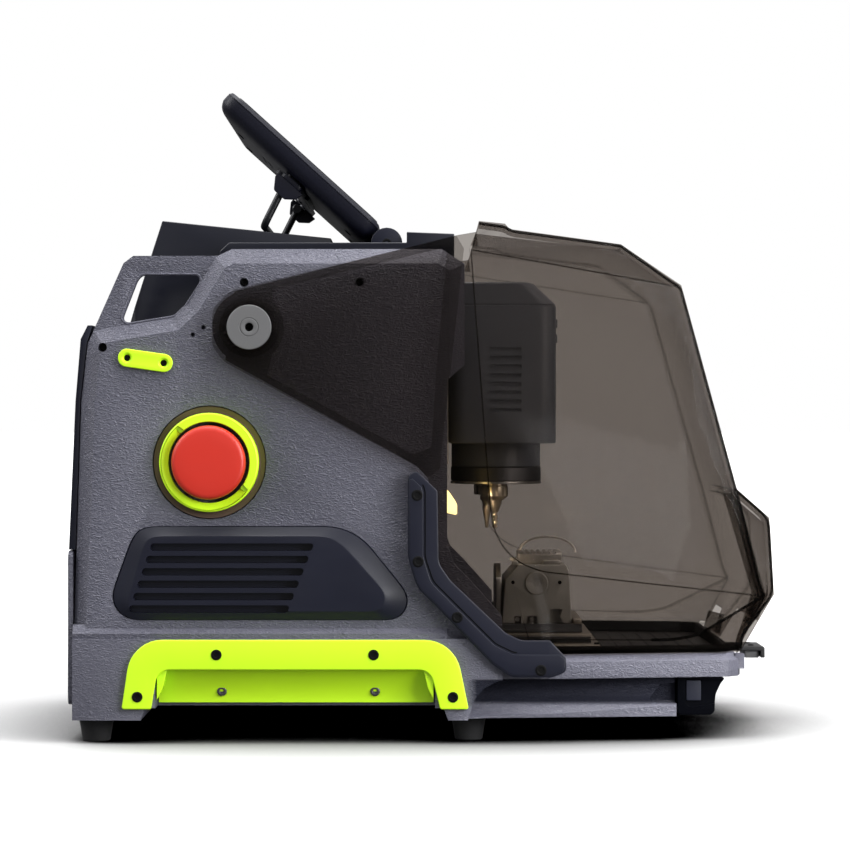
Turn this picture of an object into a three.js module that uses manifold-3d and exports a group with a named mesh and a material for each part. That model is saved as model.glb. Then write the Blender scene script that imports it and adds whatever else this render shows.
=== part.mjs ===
// Key duplicating machine: a cast bench housing with a lift-up smoked cover over its cutting chamber.
// Millimetres. Front is +X, up is +Z, the emergency-stop side is -Y. Z = 0 is the table under the feet.
import * as THREE from "three";
import { ConvexGeometry } from "three/addons/geometries/ConvexGeometry.js";
import { mergeVertices } from "three/addons/utils/BufferGeometryUtils.js";
import Module from "manifold-3d";

const wasm = await Module();
wasm.setup();

// Driving dimensions
const CENTRE_SHIFT = -3.7; // brings the middle of the overall length to X = 0
const PANEL_OUT = 118; // outer faces of the two side castings
const PANEL_IN = 104;
const PANEL_CHAMFER = 8.3;
const BASE_OUT = 122;
const BASE_TOP = 56.5;
const RIM_TOP = 47.3;
const FLOOR = 44.5; // chamber floor
const COVER_OUT = 124;
const COVER_WALL = 3;
const PIVOT = { x: -92.6, z: 224.6 }; // cover hinge
const HUB_OUT = 126.5;
const PIVOT_HEAD_OUT = 128.4;
const STOP = { x: -114.6, z: 151.8 }; // emergency stop
const TILT = { x: -19, z: 271.8, angle: 42.1 }; // tablet hinge and lean from horizontal, degrees
const TABLET = { from: 9.3, to: 120.5, back: -9.2, face: 5.7, half: 95 };
const PROP = { u: 64.5, w: -14, length: 24.8, half: 80, rod: 2.2, lie: 63.3 };
const CUTTER = { x: 42.4, y: -13 };
const PROBE = { x: 38.4, y: 13 };
const FAN = { y: -58, z: 62, r: 27 }; // rear openings
const INLET = { y: 40, z: 45, halfY: 14, halfZ: 10.5 };
const ROCKER = { y: 78, z: 45, halfY: 7, halfZ: 10.5 };
const VISE = { x0: 46, x1: 86.4, half: 30, screwX: 66, screwZ: 81.3 };
const SEG = 28;

const GREY = { color: 0x5c5c67, roughness: 0.62, metalness: 0.2 };
const NAVY = { color: 0x20222f, roughness: 0.5, metalness: 0.1 };
const LIME = { color: 0xccff33, roughness: 0.4, metalness: 0 };
const SMOKE = { color: 0x4b423c, roughness: 0.1, metalness: 0, transparent: true, opacity: 0.55 };
const BLACK = { color: 0x121214, roughness: 0.7, metalness: 0 };
const STEEL = { color: 0xa9abae, roughness: 0.35, metalness: 1 };
const DARK_STEEL = { color: 0x4a4846, roughness: 0.4, metalness: 0.9 };
const ALUMINIUM = { color: 0x8f8d88, roughness: 0.45, metalness: 0.9 };
const RED = { color: 0xd73a29, roughness: 0.4, metalness: 0 };
const BRONZE = { color: 0x504128, roughness: 0.5, metalness: 0.6 };
const WASHER = { color: 0x696969, roughness: 0.5, metalness: 0.5 };
const LAMP = { color: 0xffd9a0, roughness: 0.3, metalness: 0 };
const GREEN = { color: 0x1e4d34, roughness: 0.6, metalness: 0.1 };
const SCREEN = { color: 0x0b0c10, roughness: 0.08, metalness: 0 };

// ---- making solids ----

function solid(geometry) {
  const g = geometry.index ? geometry.toNonIndexed() : geometry;
  g.deleteAttribute("normal");
  g.deleteAttribute("uv");
  const m = mergeVertices(g, 1e-4);
  const vertProperties = m.getAttribute("position").array;
  return new wasm.Manifold(
    new wasm.Mesh({ numProp: 3, vertProperties, triVerts: new Uint32Array(m.index.array) }),
  );
}

// A closed shape with each corner rounded off by about the given radius.
function outline(points, round = 0) {
  const shape = new THREE.Shape();
  const ps = points.map(([x, y]) => new THREE.Vector2(x, y));
  if (!round) return shape.setFromPoints(ps);
  ps.forEach((p, i) => {
    const before = ps[(i + ps.length - 1) % ps.length];
    const after = ps[(i + 1) % ps.length];
    const back = Math.min(round, 0.45 * p.distanceTo(before));
    const on = Math.min(round, 0.45 * p.distanceTo(after));
    const a = p.clone().add(before.clone().sub(p).setLength(back));
    const b = p.clone().add(after.clone().sub(p).setLength(on));
    if (i === 0) shape.moveTo(a.x, a.y);
    else shape.lineTo(a.x, a.y);
    shape.quadraticCurveTo(p.x, p.y, b.x, b.y);
  });
  shape.closePath();
  return shape;
}

function prism(points, depth, { round = 0, bevel = 0 } = {}) {
  const g = new THREE.ExtrudeGeometry(outline(points, round), {
    depth: depth - 2 * bevel,
    bevelEnabled: bevel > 0,
    bevelThickness: bevel,
    bevelSize: bevel,
    bevelOffset: -bevel,
    bevelSegments: 1,
    curveSegments: 3,
  });
  return g.translate(0, 0, bevel);
}

// Prisms of an XZ outline along Y, a YZ outline along X and an XY outline along Z.
function alongY(points, y0, y1, how) {
  return solid(prism(points, y1 - y0, how).rotateX(Math.PI / 2).translate(0, y1, 0));
}

function alongX(points, x0, x1, how) {
  const turn = new THREE.Matrix4().makeBasis(
    new THREE.Vector3(0, 1, 0),
    new THREE.Vector3(0, 0, 1),
    new THREE.Vector3(1, 0, 0),
  );
  return solid(prism(points, x1 - x0, how).applyMatrix4(turn).translate(x0, 0, 0));
}

function alongZ(points, z0, z1, how) {
  return solid(prism(points, z1 - z0, how).translate(0, 0, z0));
}

function box(x0, x1, y0, y1, z0, z1) {
  const g = new THREE.BoxGeometry(x1 - x0, y1 - y0, z1 - z0);
  return solid(g.translate((x0 + x1) / 2, (y0 + y1) / 2, (z0 + z1) / 2));
}

// Rods: u and v are the two other coordinates of the axis, in the order X, Y, Z.
function rodY(x, z, r, y0, y1, r1 = r, seg = SEG) {
  return solid(new THREE.CylinderGeometry(r1, r, y1 - y0, seg).translate(x, (y0 + y1) / 2, z));
}

function rodZ(x, y, r, z0, z1, r1 = r, seg = SEG) {
  const g = new THREE.CylinderGeometry(r1, r, z1 - z0, seg).rotateX(Math.PI / 2);
  return solid(g.translate(x, y, (z0 + z1) / 2));
}

function rodX(y, z, r, x0, x1, r1 = r, seg = SEG) {
  const g = new THREE.CylinderGeometry(r1, r, x1 - x0, seg).rotateZ(-Math.PI / 2);
  return solid(g.translate((x0 + x1) / 2, y, z));
}

function join(first, ...rest) {
  return rest.reduce((a, b) => a.add(b), first);
}

function cut(first, ...rest) {
  return rest.reduce((a, b) => a.subtract(b), first);
}

const slotX = (c, more = 0) =>
  box(-200, -180, c.y - c.halfY - more, c.y + c.halfY + more, c.z - c.halfZ - more, c.z + c.halfZ + more);
const mirrored = (points) => points.flatMap(([x, y, z]) => [[x, y, z], [x, -y, z]]);
const hull = (points) => solid(new ConvexGeometry(points.map((p) => new THREE.Vector3(...p))));

const machine = new THREE.Group();
machine.name = "key_duplicating_machine";
machine.position.x = CENTRE_SHIFT;

function add(name, body, finish) {
  const { numProp, vertProperties, triVerts } = body.getMesh();
  const g = new THREE.BufferGeometry();
  g.setAttribute("position", new THREE.BufferAttribute(vertProperties, numProp));
  g.setIndex(new THREE.BufferAttribute(triVerts, 1));
  g.computeVertexNormals();
  const mesh = new THREE.Mesh(g, new THREE.MeshStandardMaterial({ ...finish, flatShading: true }));
  mesh.name = name;
  machine.add(mesh);
}

// The right-hand (-Y) piece as built, and its mirror image on the left.
function addPair(name, body, finish) {
  add(name + "_right", body, finish);
  add(name + "_left", body.mirror([0, 1, 0]), finish);
}

// ---- base casting and what stands on it ----

const RIM = [
  [24, -120], [78, -118.5], [168, -104.5], [173.5, -99], [175.5, -90],
  [175.5, 90], [173.5, 99], [168, 104.5], [78, 118.5], [24, 120],
];

function baseCasting() {
  const block = alongY(
    [
      [-188.4, 12.6], [-151.5, 12.6], [-149, 19.3], [12, 19.3],
      [14.6, 12.6], [44, 12.6], [44, BASE_TOP], [-188.4, BASE_TOP],
    ],
    -BASE_OUT,
    BASE_OUT,
  );
  const electronicsBay = box(-183, -4, -103, 103, 23, 60);
  const gripPocket = box(-143.5, 7.5, -130, -107, 15, 40.2);
  const sideCut = alongY(
    [[25, 12], [28.7, 23.9], [34, 30], [42, 34], [52.9, 34.9], [60, 34.9], [60, 12]],
    -130,
    -101,
  );
  const lug = box(172, 177, -99, -89, 38.5, 46.5);
  const rim = alongZ(RIM, 31, RIM_TOP, { bevel: 3.5 }).intersect(box(0, 200, -130, 130, 34.7, 60));
  const well = alongZ(RIM.map(([x, y]) => [x * 0.965, y * 0.93]), FLOOR - 1.5, 60);
  const skirt = [
    [-101, 36.5], [-101.5, 30], [-103.5, 24.5], [-107.5, 19.5], [-113.5, 15.5], [-121, 13.4],
    [0, 13.4], [0, 36.5],
  ];
  const halfLower = alongX(skirt, 25, 139).intersect(
    alongZ([[25, -120.5], [36, -117], [60, -115], [139, -107.5], [139, 0], [25, 0]], 0, 60),
  );
  const lower = join(halfLower, halfLower.mirror([0, 1, 0]));
  const drawerBay = box(46, 175, -96, 96, 16, 34.2);
  const fingers = alongY([[124.7, 23], [130.4, 30.2], [142, 31.5], [142, 20], [126.3, 21]], -115, -98);
  const lugs = join(lug, lug.mirror([0, 1, 0]), rim);
  const both = [gripPocket, fingers].flatMap((b) => [b, b.mirror([0, 1, 0])]);
  const chamber = box(6, 60, -PANEL_IN, PANEL_IN, FLOOR - 1.5, 60);
  const rear = [rodX(FAN.y, FAN.z, FAN.r, -200, -180), slotX(INLET), slotX(ROCKER, 0.4)];
  const trimmed = cut(block, sideCut, sideCut.mirror([0, 1, 0]), ...both);
  const solidBase = join(trimmed, lugs, lower);
  return cut(solidBase, electronicsBay, chamber, well, drawerBay, ...both, ...rear);
}

add("base_casting", baseCasting(), GREY);
const floorPlate = alongZ(RIM.map(([x, y]) => [x * 0.955 + 1, y * 0.91]), FLOOR - 1.5, FLOOR - 0.3);
add("chamber_floor", join(floorPlate, box(6.3, 60, -103.6, 103.6, FLOOR - 1.5, FLOOR - 0.3)), BLACK);

function foot(x, y) {
  return rodZ(x, y, 7.6, 0, 12.5, 9.6);
}

add("foot_rear_right", foot(-177.3, -104), BLACK);
add("foot_rear_left", foot(-177.3, 104), BLACK);
add("foot_front_right", foot(25.9, -98), BLACK);
add("foot_front_left", foot(25.9, 98), BLACK);

// ---- side castings ----

const UPPER_EDGE = [
  [-185, 185], [-181.4, 216.5], [-178.3, 223.4], [-162.8, 226.5], [-135.3, 231],
  [-127, 239], [-112, 263.4], [-103, 267.7],
];
const FRONT_EDGE = [
  [11, 267.7], [23.5, 259.7], [23.5, 204.6], [14, 196.5], [14, 107.6],
  [17.6, 96.8], [26.3, 88], [43.6, 68.6], [44, BASE_TOP],
];
const VENT_OUTER = [
  [-160, 66.5], [-168.4, 77.5], [-156, 112], [-149.7, 117.2],
  [-45, 117.2], [-31.3, 110.6], [-5.8, 78.9], [-11.3, 66.5],
];
const VENT_FACE = [
  [-156.7, 71.3], [-158.7, 76], [-149.7, 107.8], [-145.6, 112.7],
  [-50.5, 113], [-42.3, 107.8], [-18.2, 80.3], [-21.7, 70],
];

function grow(points, by) {
  const n = points.length;
  const cx = points.reduce((s, p) => s + p[0], 0) / n;
  const cz = points.reduce((s, p) => s + p[1], 0) / n;
  return points.map(([x, z]) => [x + by * Math.sign(x - cx), z + by * Math.sign(z - cz)]);
}

function sidePanel(withStop) {
  const front = [[12, 267.7], [23.5, 259.7], [23.5, 112], [70, 60], [70, 40]];
  const chamfered = alongY([[-189.5, 40], ...UPPER_EDGE, ...front], -PANEL_OUT, -90, {
    bevel: PANEL_CHAMFER,
  });
  const plain = alongY([[-189, BASE_TOP], ...UPPER_EDGE, ...FRONT_EDGE], -PANEL_OUT, -PANEL_IN);
  const handle = alongY(
    [[-183, 205], [-178.3, 223.4], [-162, 260], [-156.7, 264], [-108, 264], [-100, 240], [-120, 215]],
    -110,
    -PANEL_IN,
  );
  const grip = alongY(
    [
      [-151.8, 253.6], [-121.5, 253.6], [-120.2, 250.3], [-130.5, 234.4],
      [-134.6, 231.7], [-160, 227.6], [-162.8, 229.6], [-154.5, 250.9],
    ],
    -125,
    -100,
    { round: 2.5 },
  );
  const flare = alongX([[-116, 56.5], [-120.6, 56.5], [-120.6, 59.3], [-116, 64]], -188.5, 14);
  const ventSeat = alongY(grow(VENT_OUTER, 0.5), -125, -112);
  let panel = cut(join(chamfered.intersect(plain), cut(handle, grip), flare), ventSeat);
  if (withStop) {
    panel = cut(panel, rodY(STOP.x, STOP.z, 30.9, -125, -112.8), rodY(STOP.x, STOP.z, 11, -120, -100));
  }
  return panel;
}

add("side_panel_right", sidePanel(true), GREY);
add("side_panel_left", sidePanel(false).mirror([0, 1, 0]), GREY);

function ventGrille() {
  const rings = [
    ...VENT_OUTER.map(([x, z]) => [x, -112.2, z]),
    ...VENT_OUTER.map(([x, z]) => [x, -118.4, z]),
    ...VENT_FACE.map(([x, z]) => [x, -121.4, z]),
  ];
  const tops = [108.1, 101.5, 94.8, 88, 81.4, 74.7];
  const slots = tops.map((z, i) => {
    const left = -145.6 - 2.3 * i;
    const right = -57.7 - 2.6 * i;
    const corners = [[left, z], [right, z], [right - 1.6, z - 4], [left - 1.4, z - 4]];
    return alongY(corners, -125, -113.8, { round: 1.9 });
  });
  return cut(hull(rings), ...slots);
}

addPair("vent_grille", ventGrille(), NAVY);

function gripTrim() {
  const arch = alongY(
    [
      [-161.5, 18.6], [-158.7, 38.2], [-136.7, 56.1], [1.8, 56.1], [20, 41.4], [25.6, 19.9],
      [10, 18.6], [6.6, 32.1], [-0.3, 40.1], [-136.7, 40.1], [-142.9, 34.8], [-145.6, 18.6],
    ],
    -124.6,
    -BASE_OUT,
  );
  const scoop = alongX(
    [
      [-122.3, 40.1], [-116, 37.2], [-112, 32], [-111, 26.5], [-112.5, 21.3],
      [-107.2, 21.3], [-107.2, 40.1],
    ],
    -142.9,
    6.9,
  );
  return join(arch, scoop);
}

addPair("grip_trim", gripTrim(), LIME);

function badge() {
  const ends = [[-159, 208.3], [-139.3, 205.5]];
  const [a, b] = ends.map(([x, z]) => rodY(x, z, 4.8, -120.2, -PANEL_OUT, 4.8, 20));
  const bar = [[-159.7, 203.5], [-140, 200.7], [-138.6, 210.3], [-158.3, 213.1]];
  const holes = ends.map(([x, z]) => rodY(x, z, 2.6, -121, -119.2, 1.6, 12));
  return cut(join(a, b, alongY(bar, -120.2, -PANEL_OUT)), ...holes);
}

addPair("badge", badge(), LIME);

// ---- guard rails that lap the cover's rear edge ----

const RAIL_BACK = [
  [-7.3, 145.8], [-7.3, 103.7], [-5.4, 95.6], [-1.4, 85.9], [5.9, 76.6],
  [34.2, 47.9], [42.3, 40.6], [50.4, 36.6], [72.3, 36.2], [76.7, 39], [78, 43],
];
const RAIL_LIP = [
  [77.5, 46.7], [69.1, 56.1], [52.9, 56.1], [47.2, 58.4], [42.3, 62.4], [15.7, 88.3],
  [10.8, 97.3], [9.2, 103.7], [8.7, 136.1], [-2.2, 147], [-5, 147.9],
];
const RAIL_GROOVE = [
  [75, 49.5], [52.9, 49.7], [44, 52.3], [37.5, 58], [9.2, 85], [4.3, 94],
  [2.1, 103.7], [2.1, 136], [0.6, 139.8], [-6.6, 145.4],
];

function guardRail() {
  const lip = alongY([...RAIL_BACK, ...RAIL_LIP], -127.6, -124.4);
  const foot = alongY([...RAIL_BACK, ...RAIL_GROOVE], -124.4, -BASE_OUT - 0.1);
  const pad = alongY([...RAIL_BACK, ...RAIL_GROOVE], -BASE_OUT - 0.1, -PANEL_OUT);
  const belowPad = box(-30, 90, -130, -100, 20, 64.5);
  return join(lip, foot, cut(pad, belowPad));
}

addPair("guard_rail", guardRail(), NAVY);

// ---- emergency stop ----

const ringY = (c, r, hole, y0, y1) => cut(rodY(c.x, c.z, r, y0, y1), rodY(c.x, c.z, hole, y0 - 1, y1 + 1));
const stopNotches = [130, -35].map((degrees) => {
  const a = THREE.MathUtils.degToRad(degrees);
  return rodY(STOP.x + 26.5 * Math.cos(a), STOP.z + 26.5 * Math.sin(a), 3, -126, -119, 3, 12);
});
add("estop_recess_ring", ringY(STOP, 30.6, 27, -117, -112.8), BRONZE);
add("estop_collar", cut(ringY(STOP, 26.7, 22, -123.4, -112.8), ...stopNotches), LIME);
add(
  "estop_button",
  join(
    rodY(STOP.x, STOP.z, 17.6, -128.3, -126.2, 20),
    rodY(STOP.x, STOP.z, 20, -126.2, -120),
    rodY(STOP.x, STOP.z, 9.6, -120, -109),
  ),
  RED,
);
add("estop_contact_block", box(STOP.x - 15, STOP.x + 15, -103.7, -74, STOP.z - 18, STOP.z + 18), BLACK);

// ---- smoked cover ----

// Outer corners of the faceted body, half of it; the other half is the mirror image.
function coverBody(t, open) {
  return hull(
    mirrored([
      [26 - open, COVER_OUT - t, 267.3 - t], [36.9 - open, COVER_OUT - t, 131.2],
      [44.6 - open, COVER_OUT - t, 104.8], [64.7 - open, COVER_OUT - t, 93.3],
      [31.6 - open, 95 - t, 282 - t], [109.6 - t / 2, 95 - t, 271.3 - t],
      [136.9 - t, 97 - t, 251.4 - t], [142.4 - t, 99.6 - t, 248.5 - t],
      [175.1 - t, 95 - t, 130.5], [186.9 - t, 92 - t, 83.9], [190 - t, 89 - t, 77.5],
      [60 - open, 122.5 - t, 56], [60 - open, 119.5 - t, 48 - open],
      [137, 110 - t, 54.7], [151, 106 - t, 57], [166 - t, 102.5 - t, 48 - open],
      [176.3 - t, 89 - t, 54], [174.6 - t, 89 - t, 48 - open],
    ]),
  );
}

function coverNose(t, open) {
  return hull(
    mirrored([
      [140, 40 - t, 137 - t], [178.8 - t, 46 - t, 135.6 - t], [197.5 - t, 46 - t, 119.4 - t],
      [199.4 - t, 52 - t, 76.2], [181.3 - t, 55 - t, 52.9], [180 - t, 55 - t, 44 - open],
      [140, 60 - t, 44 - open], [140, 56 - t, 76],
    ]),
  );
}

const ARM = [
  [-101, 244], [18, 274], [29.4, 276], [31, 267], [36.9, 131.2], [44.6, 104.8], [64.7, 93.3],
  [70, 57], [66, 52.5], [51, 52.6], [46, 57], [39, 61.5], [11, 87], [6.5, 95], [4.5, 104], [4.5, 136],
  [3.8, 143], [-2.4, 150], [-105.5, 207],
];

function coverShell() {
  const outer = join(coverBody(0, 0), coverNose(0, 0));
  const inner = join(coverBody(COVER_WALL, 16), coverNose(COVER_WALL, 16));
  const rearOpen = box(-40, 24, -130, 130, 30, 300);
  const arm = alongY(ARM, -COVER_OUT, -COVER_OUT + COVER_WALL);
  const hub = rodY(PIVOT.x, PIVOT.z, 19.9, -HUB_OUT, -COVER_OUT + COVER_WALL, 19.9, 40);
  const bore = rodY(PIVOT.x, PIVOT.z, 6.4, -130, 130, 6.4, 20);
  const roofRim = cut(
    hull(mirrored([[31.6, 94, 280], [31.6, 94, 284.2], [46, 94, 282.7], [50.5, 94, 277.5]])),
    inner,
  );
  const arms = [arm, hub].flatMap((b) => [b, b.mirror([0, 1, 0])]);
  return cut(join(cut(outer, inner, rearOpen), roofRim, ...arms), bore);
}

add("cover_shell", coverShell(), SMOKE);
add(
  "cover_pull_tab",
  join(
    box(177.5, 198.8, -16, 16, 41.2, 43.9),
    box(196.2, 198.8, -16, 16, 37.2, 41.3),
    box(187.5, 195.8, -12, 12, 36.8, 41.3),
  ),
  BLACK,
);
add("cover_catch", box(175.5, 177.2, -12, 12, 36.5, 43.4), STEEL);
addPair(
  "pivot_pin",
  join(rodY(PIVOT.x, PIVOT.z, 6, -126.9, -PANEL_OUT, 6, 20), ringY(PIVOT, 12, 2.3, -PIVOT_HEAD_OUT, -126.8)),
  WASHER,
);

// ---- rear covers and top deck ----

add(
  "rear_cover_upper",
  alongY(
    [
      [-191.7, 104.2], [-188.1, 185], [-185.3, 218.7], [-181.5, 226.2], [-178.9, 226.2],
      [-181.9, 216.5], [-185.5, 185], [-188, 104.2],
    ],
    -110,
    110,
  ),
  NAVY,
);

function rearPanel() {
  const plate = alongX([[-112, 19.8], [112, 19.8], [112, 103.6], [-112, 103.6]], -192, -189.2, { round: 5 });
  return cut(plate, rodX(FAN.y, FAN.z, FAN.r, -200, -180), slotX(INLET), slotX(ROCKER, 0.4));
}

add("rear_panel_lower", rearPanel(), GREY);
add("fan_guard", fanGuard(), BLACK);

function fanGuard() {
  const rings = [27, 15].map((r) =>
    cut(rodX(FAN.y, FAN.z, r, -191.6, -189.6), rodX(FAN.y, FAN.z, r - 2.4, -200, -180)),
  );
  const spokes = [box(-191.4, -189.8, FAN.y - 26, FAN.y + 26, FAN.z - 1, FAN.z + 1)];
  spokes.push(box(-191.4, -189.8, FAN.y - 1, FAN.y + 1, FAN.z - 26, FAN.z + 26));
  return join(rodX(FAN.y, FAN.z, 6, -191.4, -189.6), ...rings, ...spokes).intersect(
    rodX(FAN.y, FAN.z, FAN.r - 0.1, -200, -180),
  );
}

function fanRotor() {
  const blades = [0, 1, 2, 3, 4].map((i) => {
    const g = new THREE.BoxGeometry(5, 1.6, 16).rotateZ(0.7).translate(0, 0, 15.5);
    return solid(g.rotateX((i * 2 * Math.PI) / 5).translate(-176, FAN.y, FAN.z));
  });
  return join(rodX(FAN.y, FAN.z, 10, -179, -173, 10, 20), ...blades);
}

add("fan_rotor", fanRotor(), BLACK);
add(
  "fan_frame",
  cut(
    box(-182.7, -170, FAN.y - 30, FAN.y + 30, FAN.z - 30, FAN.z + 30),
    rodX(FAN.y, FAN.z, 26.5, -190, -160),
  ),
  BLACK,
);
add(
  "power_inlet",
  cut(
    join(slotX(INLET).intersect(box(-191.8, -186, -200, 200, 0, 300)), box(-188.9, -188.5, 22, 58, 32, 58)),
    box(-195, -188, INLET.y - 11, INLET.y + 11, INLET.z - 7.5, INLET.z + 7.5),
  ),
  BLACK,
);
add(
  "power_rocker",
  alongY(
    [[-191.8, 36], [-190.6, 45], [-191.8, 54], [-189.5, 54], [-189.5, 36]],
    ROCKER.y - 6.4,
    ROCKER.y + 6.4,
  ),
  RED,
);

function topDeck() {
  const deck = alongY(
    [
      [-110, 256], [8, 256], [14, 264], [18, 264], [18, 276.5], [-8, 277.5], [-8, 271.7], [-105, 271.7],
      [-110, 267],
    ],
    -103.7,
    103.7,
  );
  const tabletWell = box(-50, -9, -97, 97, 260, 300);
  const housing = [
    [-164.3, 222], [-143.8, 285.3], [-34.4, 274], [-28, 271.7], [-28, 256], [-112, 256], [-112, 222],
  ];
  const rounded = alongZ(
    [[-164.5, -80], [-20, -80], [-20, 80], [-164.5, 80]],
    200,
    300,
    { round: 12 },
  );
  const slope = alongY(housing, -80, 80).intersect(rounded);
  const hollow = alongY(
    [[-159.5, 219], [-141.6, 281.8], [-60, 273.4], [-60, 250], [-109, 250], [-109, 219]],
    -76,
    76,
  );
  const underDeck = box(-103, 15, -100, 100, 250, 259);
  const shelf = box(-178.2, -106, -103.7, 103.7, 220, 222.5);
  const shelfWall = box(-108, -104, -103.7, 103.7, 220, 262);
  const ends = join(cut(slope, hollow), cut(deck, underDeck, hollow), shelf, shelfWall);
  return cut(ends, tabletWell, box(-105, -60, -76, 76, 255, 268));
}

add("top_deck", topDeck(), NAVY);

// ---- machine interior ----

add("front_bulkhead", box(0, 5.5, -103.7, 103.7, 56.8, 255.7), BLACK);
add("power_supply", box(-160, -60, -40, 60, 24, 66), ALUMINIUM);
add("control_board", box(-80, -78, -60, 60, 80, 200), GREEN);

// ---- tablet on its tilting hinge ----

const lean = THREE.MathUtils.degToRad(TILT.angle);
const along = [-Math.cos(lean), Math.sin(lean)];
const face = [Math.sin(lean), Math.cos(lean)];
const onTablet = ([u, w]) => [TILT.x + u * along[0] + w * face[0], TILT.z + u * along[1] + w * face[1]];

function tabletSlab() {
  const { from, to, back, face: front, half } = TABLET;
  const profile = [
    [from + 4, back], [to - 7, back], [to - 2, back + 4], [to, back + 8], [to - 0.5, front - 3.5],
    [to - 3.5, front - 0.9], [from, front - 0.9], [from, back + 4],
  ];
  const slab = alongY(profile.map(onTablet), -half, half, { bevel: 1.2 });
  const neckSide = [[-2, -8], [from + 6, back + 1], [from + 6, front - 2], [0, 6]];
  const neck = alongY(neckSide.map(onTablet), -28, 28);
  const barrel = rodY(TILT.x, TILT.z, 8.6, -28, 28, 8.6, 24);
  return cut(join(slab, neck, barrel), rodY(TILT.x, TILT.z, 3.3, -60, 60, 3.3, 16));
}

add("tablet_body", tabletSlab(), NAVY);
add(
  "tablet_screen",
  alongY(
    [[12, TABLET.face - 0.6], [115, TABLET.face - 0.6], [115, TABLET.face], [12, TABLET.face]].map(onTablet),
    -TABLET.half + 3.5,
    TABLET.half - 3.5,
  ),
  SCREEN,
);

function hingeBlock(y0, y1) {
  const knuckle = rodY(TILT.x, TILT.z, 8.6, y0, y1, 8.6, 24);
  return join(knuckle, box(-27, -11, y0, y1, 260.1, 271));
}

add(
  "tablet_hinge",
  join(hingeBlock(28.6, 96.7), hingeBlock(-96.7, -28.6), rodY(TILT.x, TILT.z, 3, -90, 90, 3, 16)),
  NAVY,
);

const propPivot = onTablet([PROP.u, PROP.w]);

function propBracket() {
  const wings = [[-PROP.half - 8, -PROP.half - 4], [PROP.half + 4, PROP.half + 8]].map(([y0, y1]) =>
    cut(
      alongY([[53, -9.5], [70, -9.5], [68, -15], [62, -19], [55, -17]].map(onTablet), y0, y1),
      rodY(...propPivot, 1.5, -100, 100, 1.5, 12),
    ),
  );
  const plate = alongY([[53, -9.5], [78, -9.5], [78, -11.3], [53, -11.3]].map(onTablet), -88, 88);
  return join(plate, ...wings);
}

add("prop_bracket", propBracket(), BLACK);

// A wire bail: two legs hang from a cross pin and join again at the foot.
function propBail() {
  const lie = THREE.MathUtils.degToRad(PROP.lie);
  const foot = [propPivot[0] - PROP.length * Math.cos(lie), propPivot[1] - PROP.length * Math.sin(lie)];
  const h = PROP.half;
  const at = (y, t) =>
    new THREE.Vector3(
      propPivot[0] + (foot[0] - propPivot[0]) * t,
      y,
      propPivot[1] + (foot[1] - propPivot[1]) * t,
    );
  const corners = [at(h, 0), at(h, 0.9), at(h - 3, 1), at(3 - h, 1), at(-h, 0.9), at(-h, 0)];
  const wire = (a, b) => {
    const g = new THREE.CylinderGeometry(PROP.rod, PROP.rod, a.distanceTo(b), 8);
    const turn = new THREE.Quaternion().setFromUnitVectors(
      new THREE.Vector3(0, 1, 0),
      b.clone().sub(a).normalize(),
    );
    const mid = a.clone().add(b).multiplyScalar(0.5);
    return solid(g.applyQuaternion(turn).translate(mid.x, mid.y, mid.z));
  };
  const runs = corners.slice(1).map((p, i) => wire(corners[i], p));
  const balls = corners.slice(1, -1).map((p) =>
    solid(new THREE.SphereGeometry(PROP.rod, 8, 6).translate(p.x, p.y, p.z)),
  );
  const pins = [-1, 1].map((s) => {
    const y = [s * (h - 2), s * (h + 7.6)].sort((a, b) => a - b);
    return rodY(...propPivot, 1.2, ...y, 1.2, 12);
  });
  const eyes = [-1, 1].map((s) => rodY(...propPivot, 2.6, s * h - 2, s * h + 2, 2.6, 12));
  return join(runs[0], ...runs.slice(1), ...balls, ...eyes, ...pins);
}

add("prop_bail", propBail(), BLACK);

// ---- cutting head ----

const railBlock = (y) => box(5.5, 9.5, y - 6, y + 6, 112, 252);
add("head_rail_right", railBlock(-26), STEEL);
add("head_rail_left", railBlock(26), STEEL);
add("z_leadscrew", rodZ(9.7, 0, 3.5, 100, 254, 3.5, 16), STEEL);

function headCarriage() {
  const plate = box(9.9, 15.4, -38, 38, 150, 246);
  return cut(plate, rodZ(9.7, 0, 4.2, 90, 270, 4.2, 16));
}

add("head_carriage", headCarriage(), ALUMINIUM);

function headHousing() {
  const shell = alongY([[15.4, 161.5], [76.8, 161.5], [76.8, 240.5], [63, 253.3], [15.4, 253.3]], -45, 45, {
    bevel: 2,
  });
  const slots = [...Array(8).keys()].map((i) => {
    const z = 216.2 - 4.95 * i;
    return box(38.5, 57.5, -50, -42.5, z - 2.3, z);
  });
  const seam = cut(box(10, 80, -50, 50, 245.2, 246), box(14, 75.8, -44, 44, 240, 250));
  const mirrored = slots.map((s) => s.mirror([0, 1, 0]));
  const screwBore = rodZ(9.7, 0, 4.2, 90, 270, 4.2, 16);
  return cut(shell, ...slots, ...mirrored, seam, screwBore);
}

add("spindle_housing", headHousing(), BLACK);

function headFlange() {
  const plate = box(18.8, 68, -38, 38, 147, 161.3);
  const lip = box(20, 66, -36, 36, 142, 147);
  const probeSleeve = rodZ(PROBE.x, PROBE.y, 8, 131, 143, 8, 20);
  const probeBore = rodZ(PROBE.x, PROBE.y, 4.4, 130, 155, 4.4, 16);
  const cutterBore = rodZ(CUTTER.x, CUTTER.y, 8.4, 130, 146, 8.4, 20);
  return cut(join(plate, lip, probeSleeve), probeBore, cutterBore);
}

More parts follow.
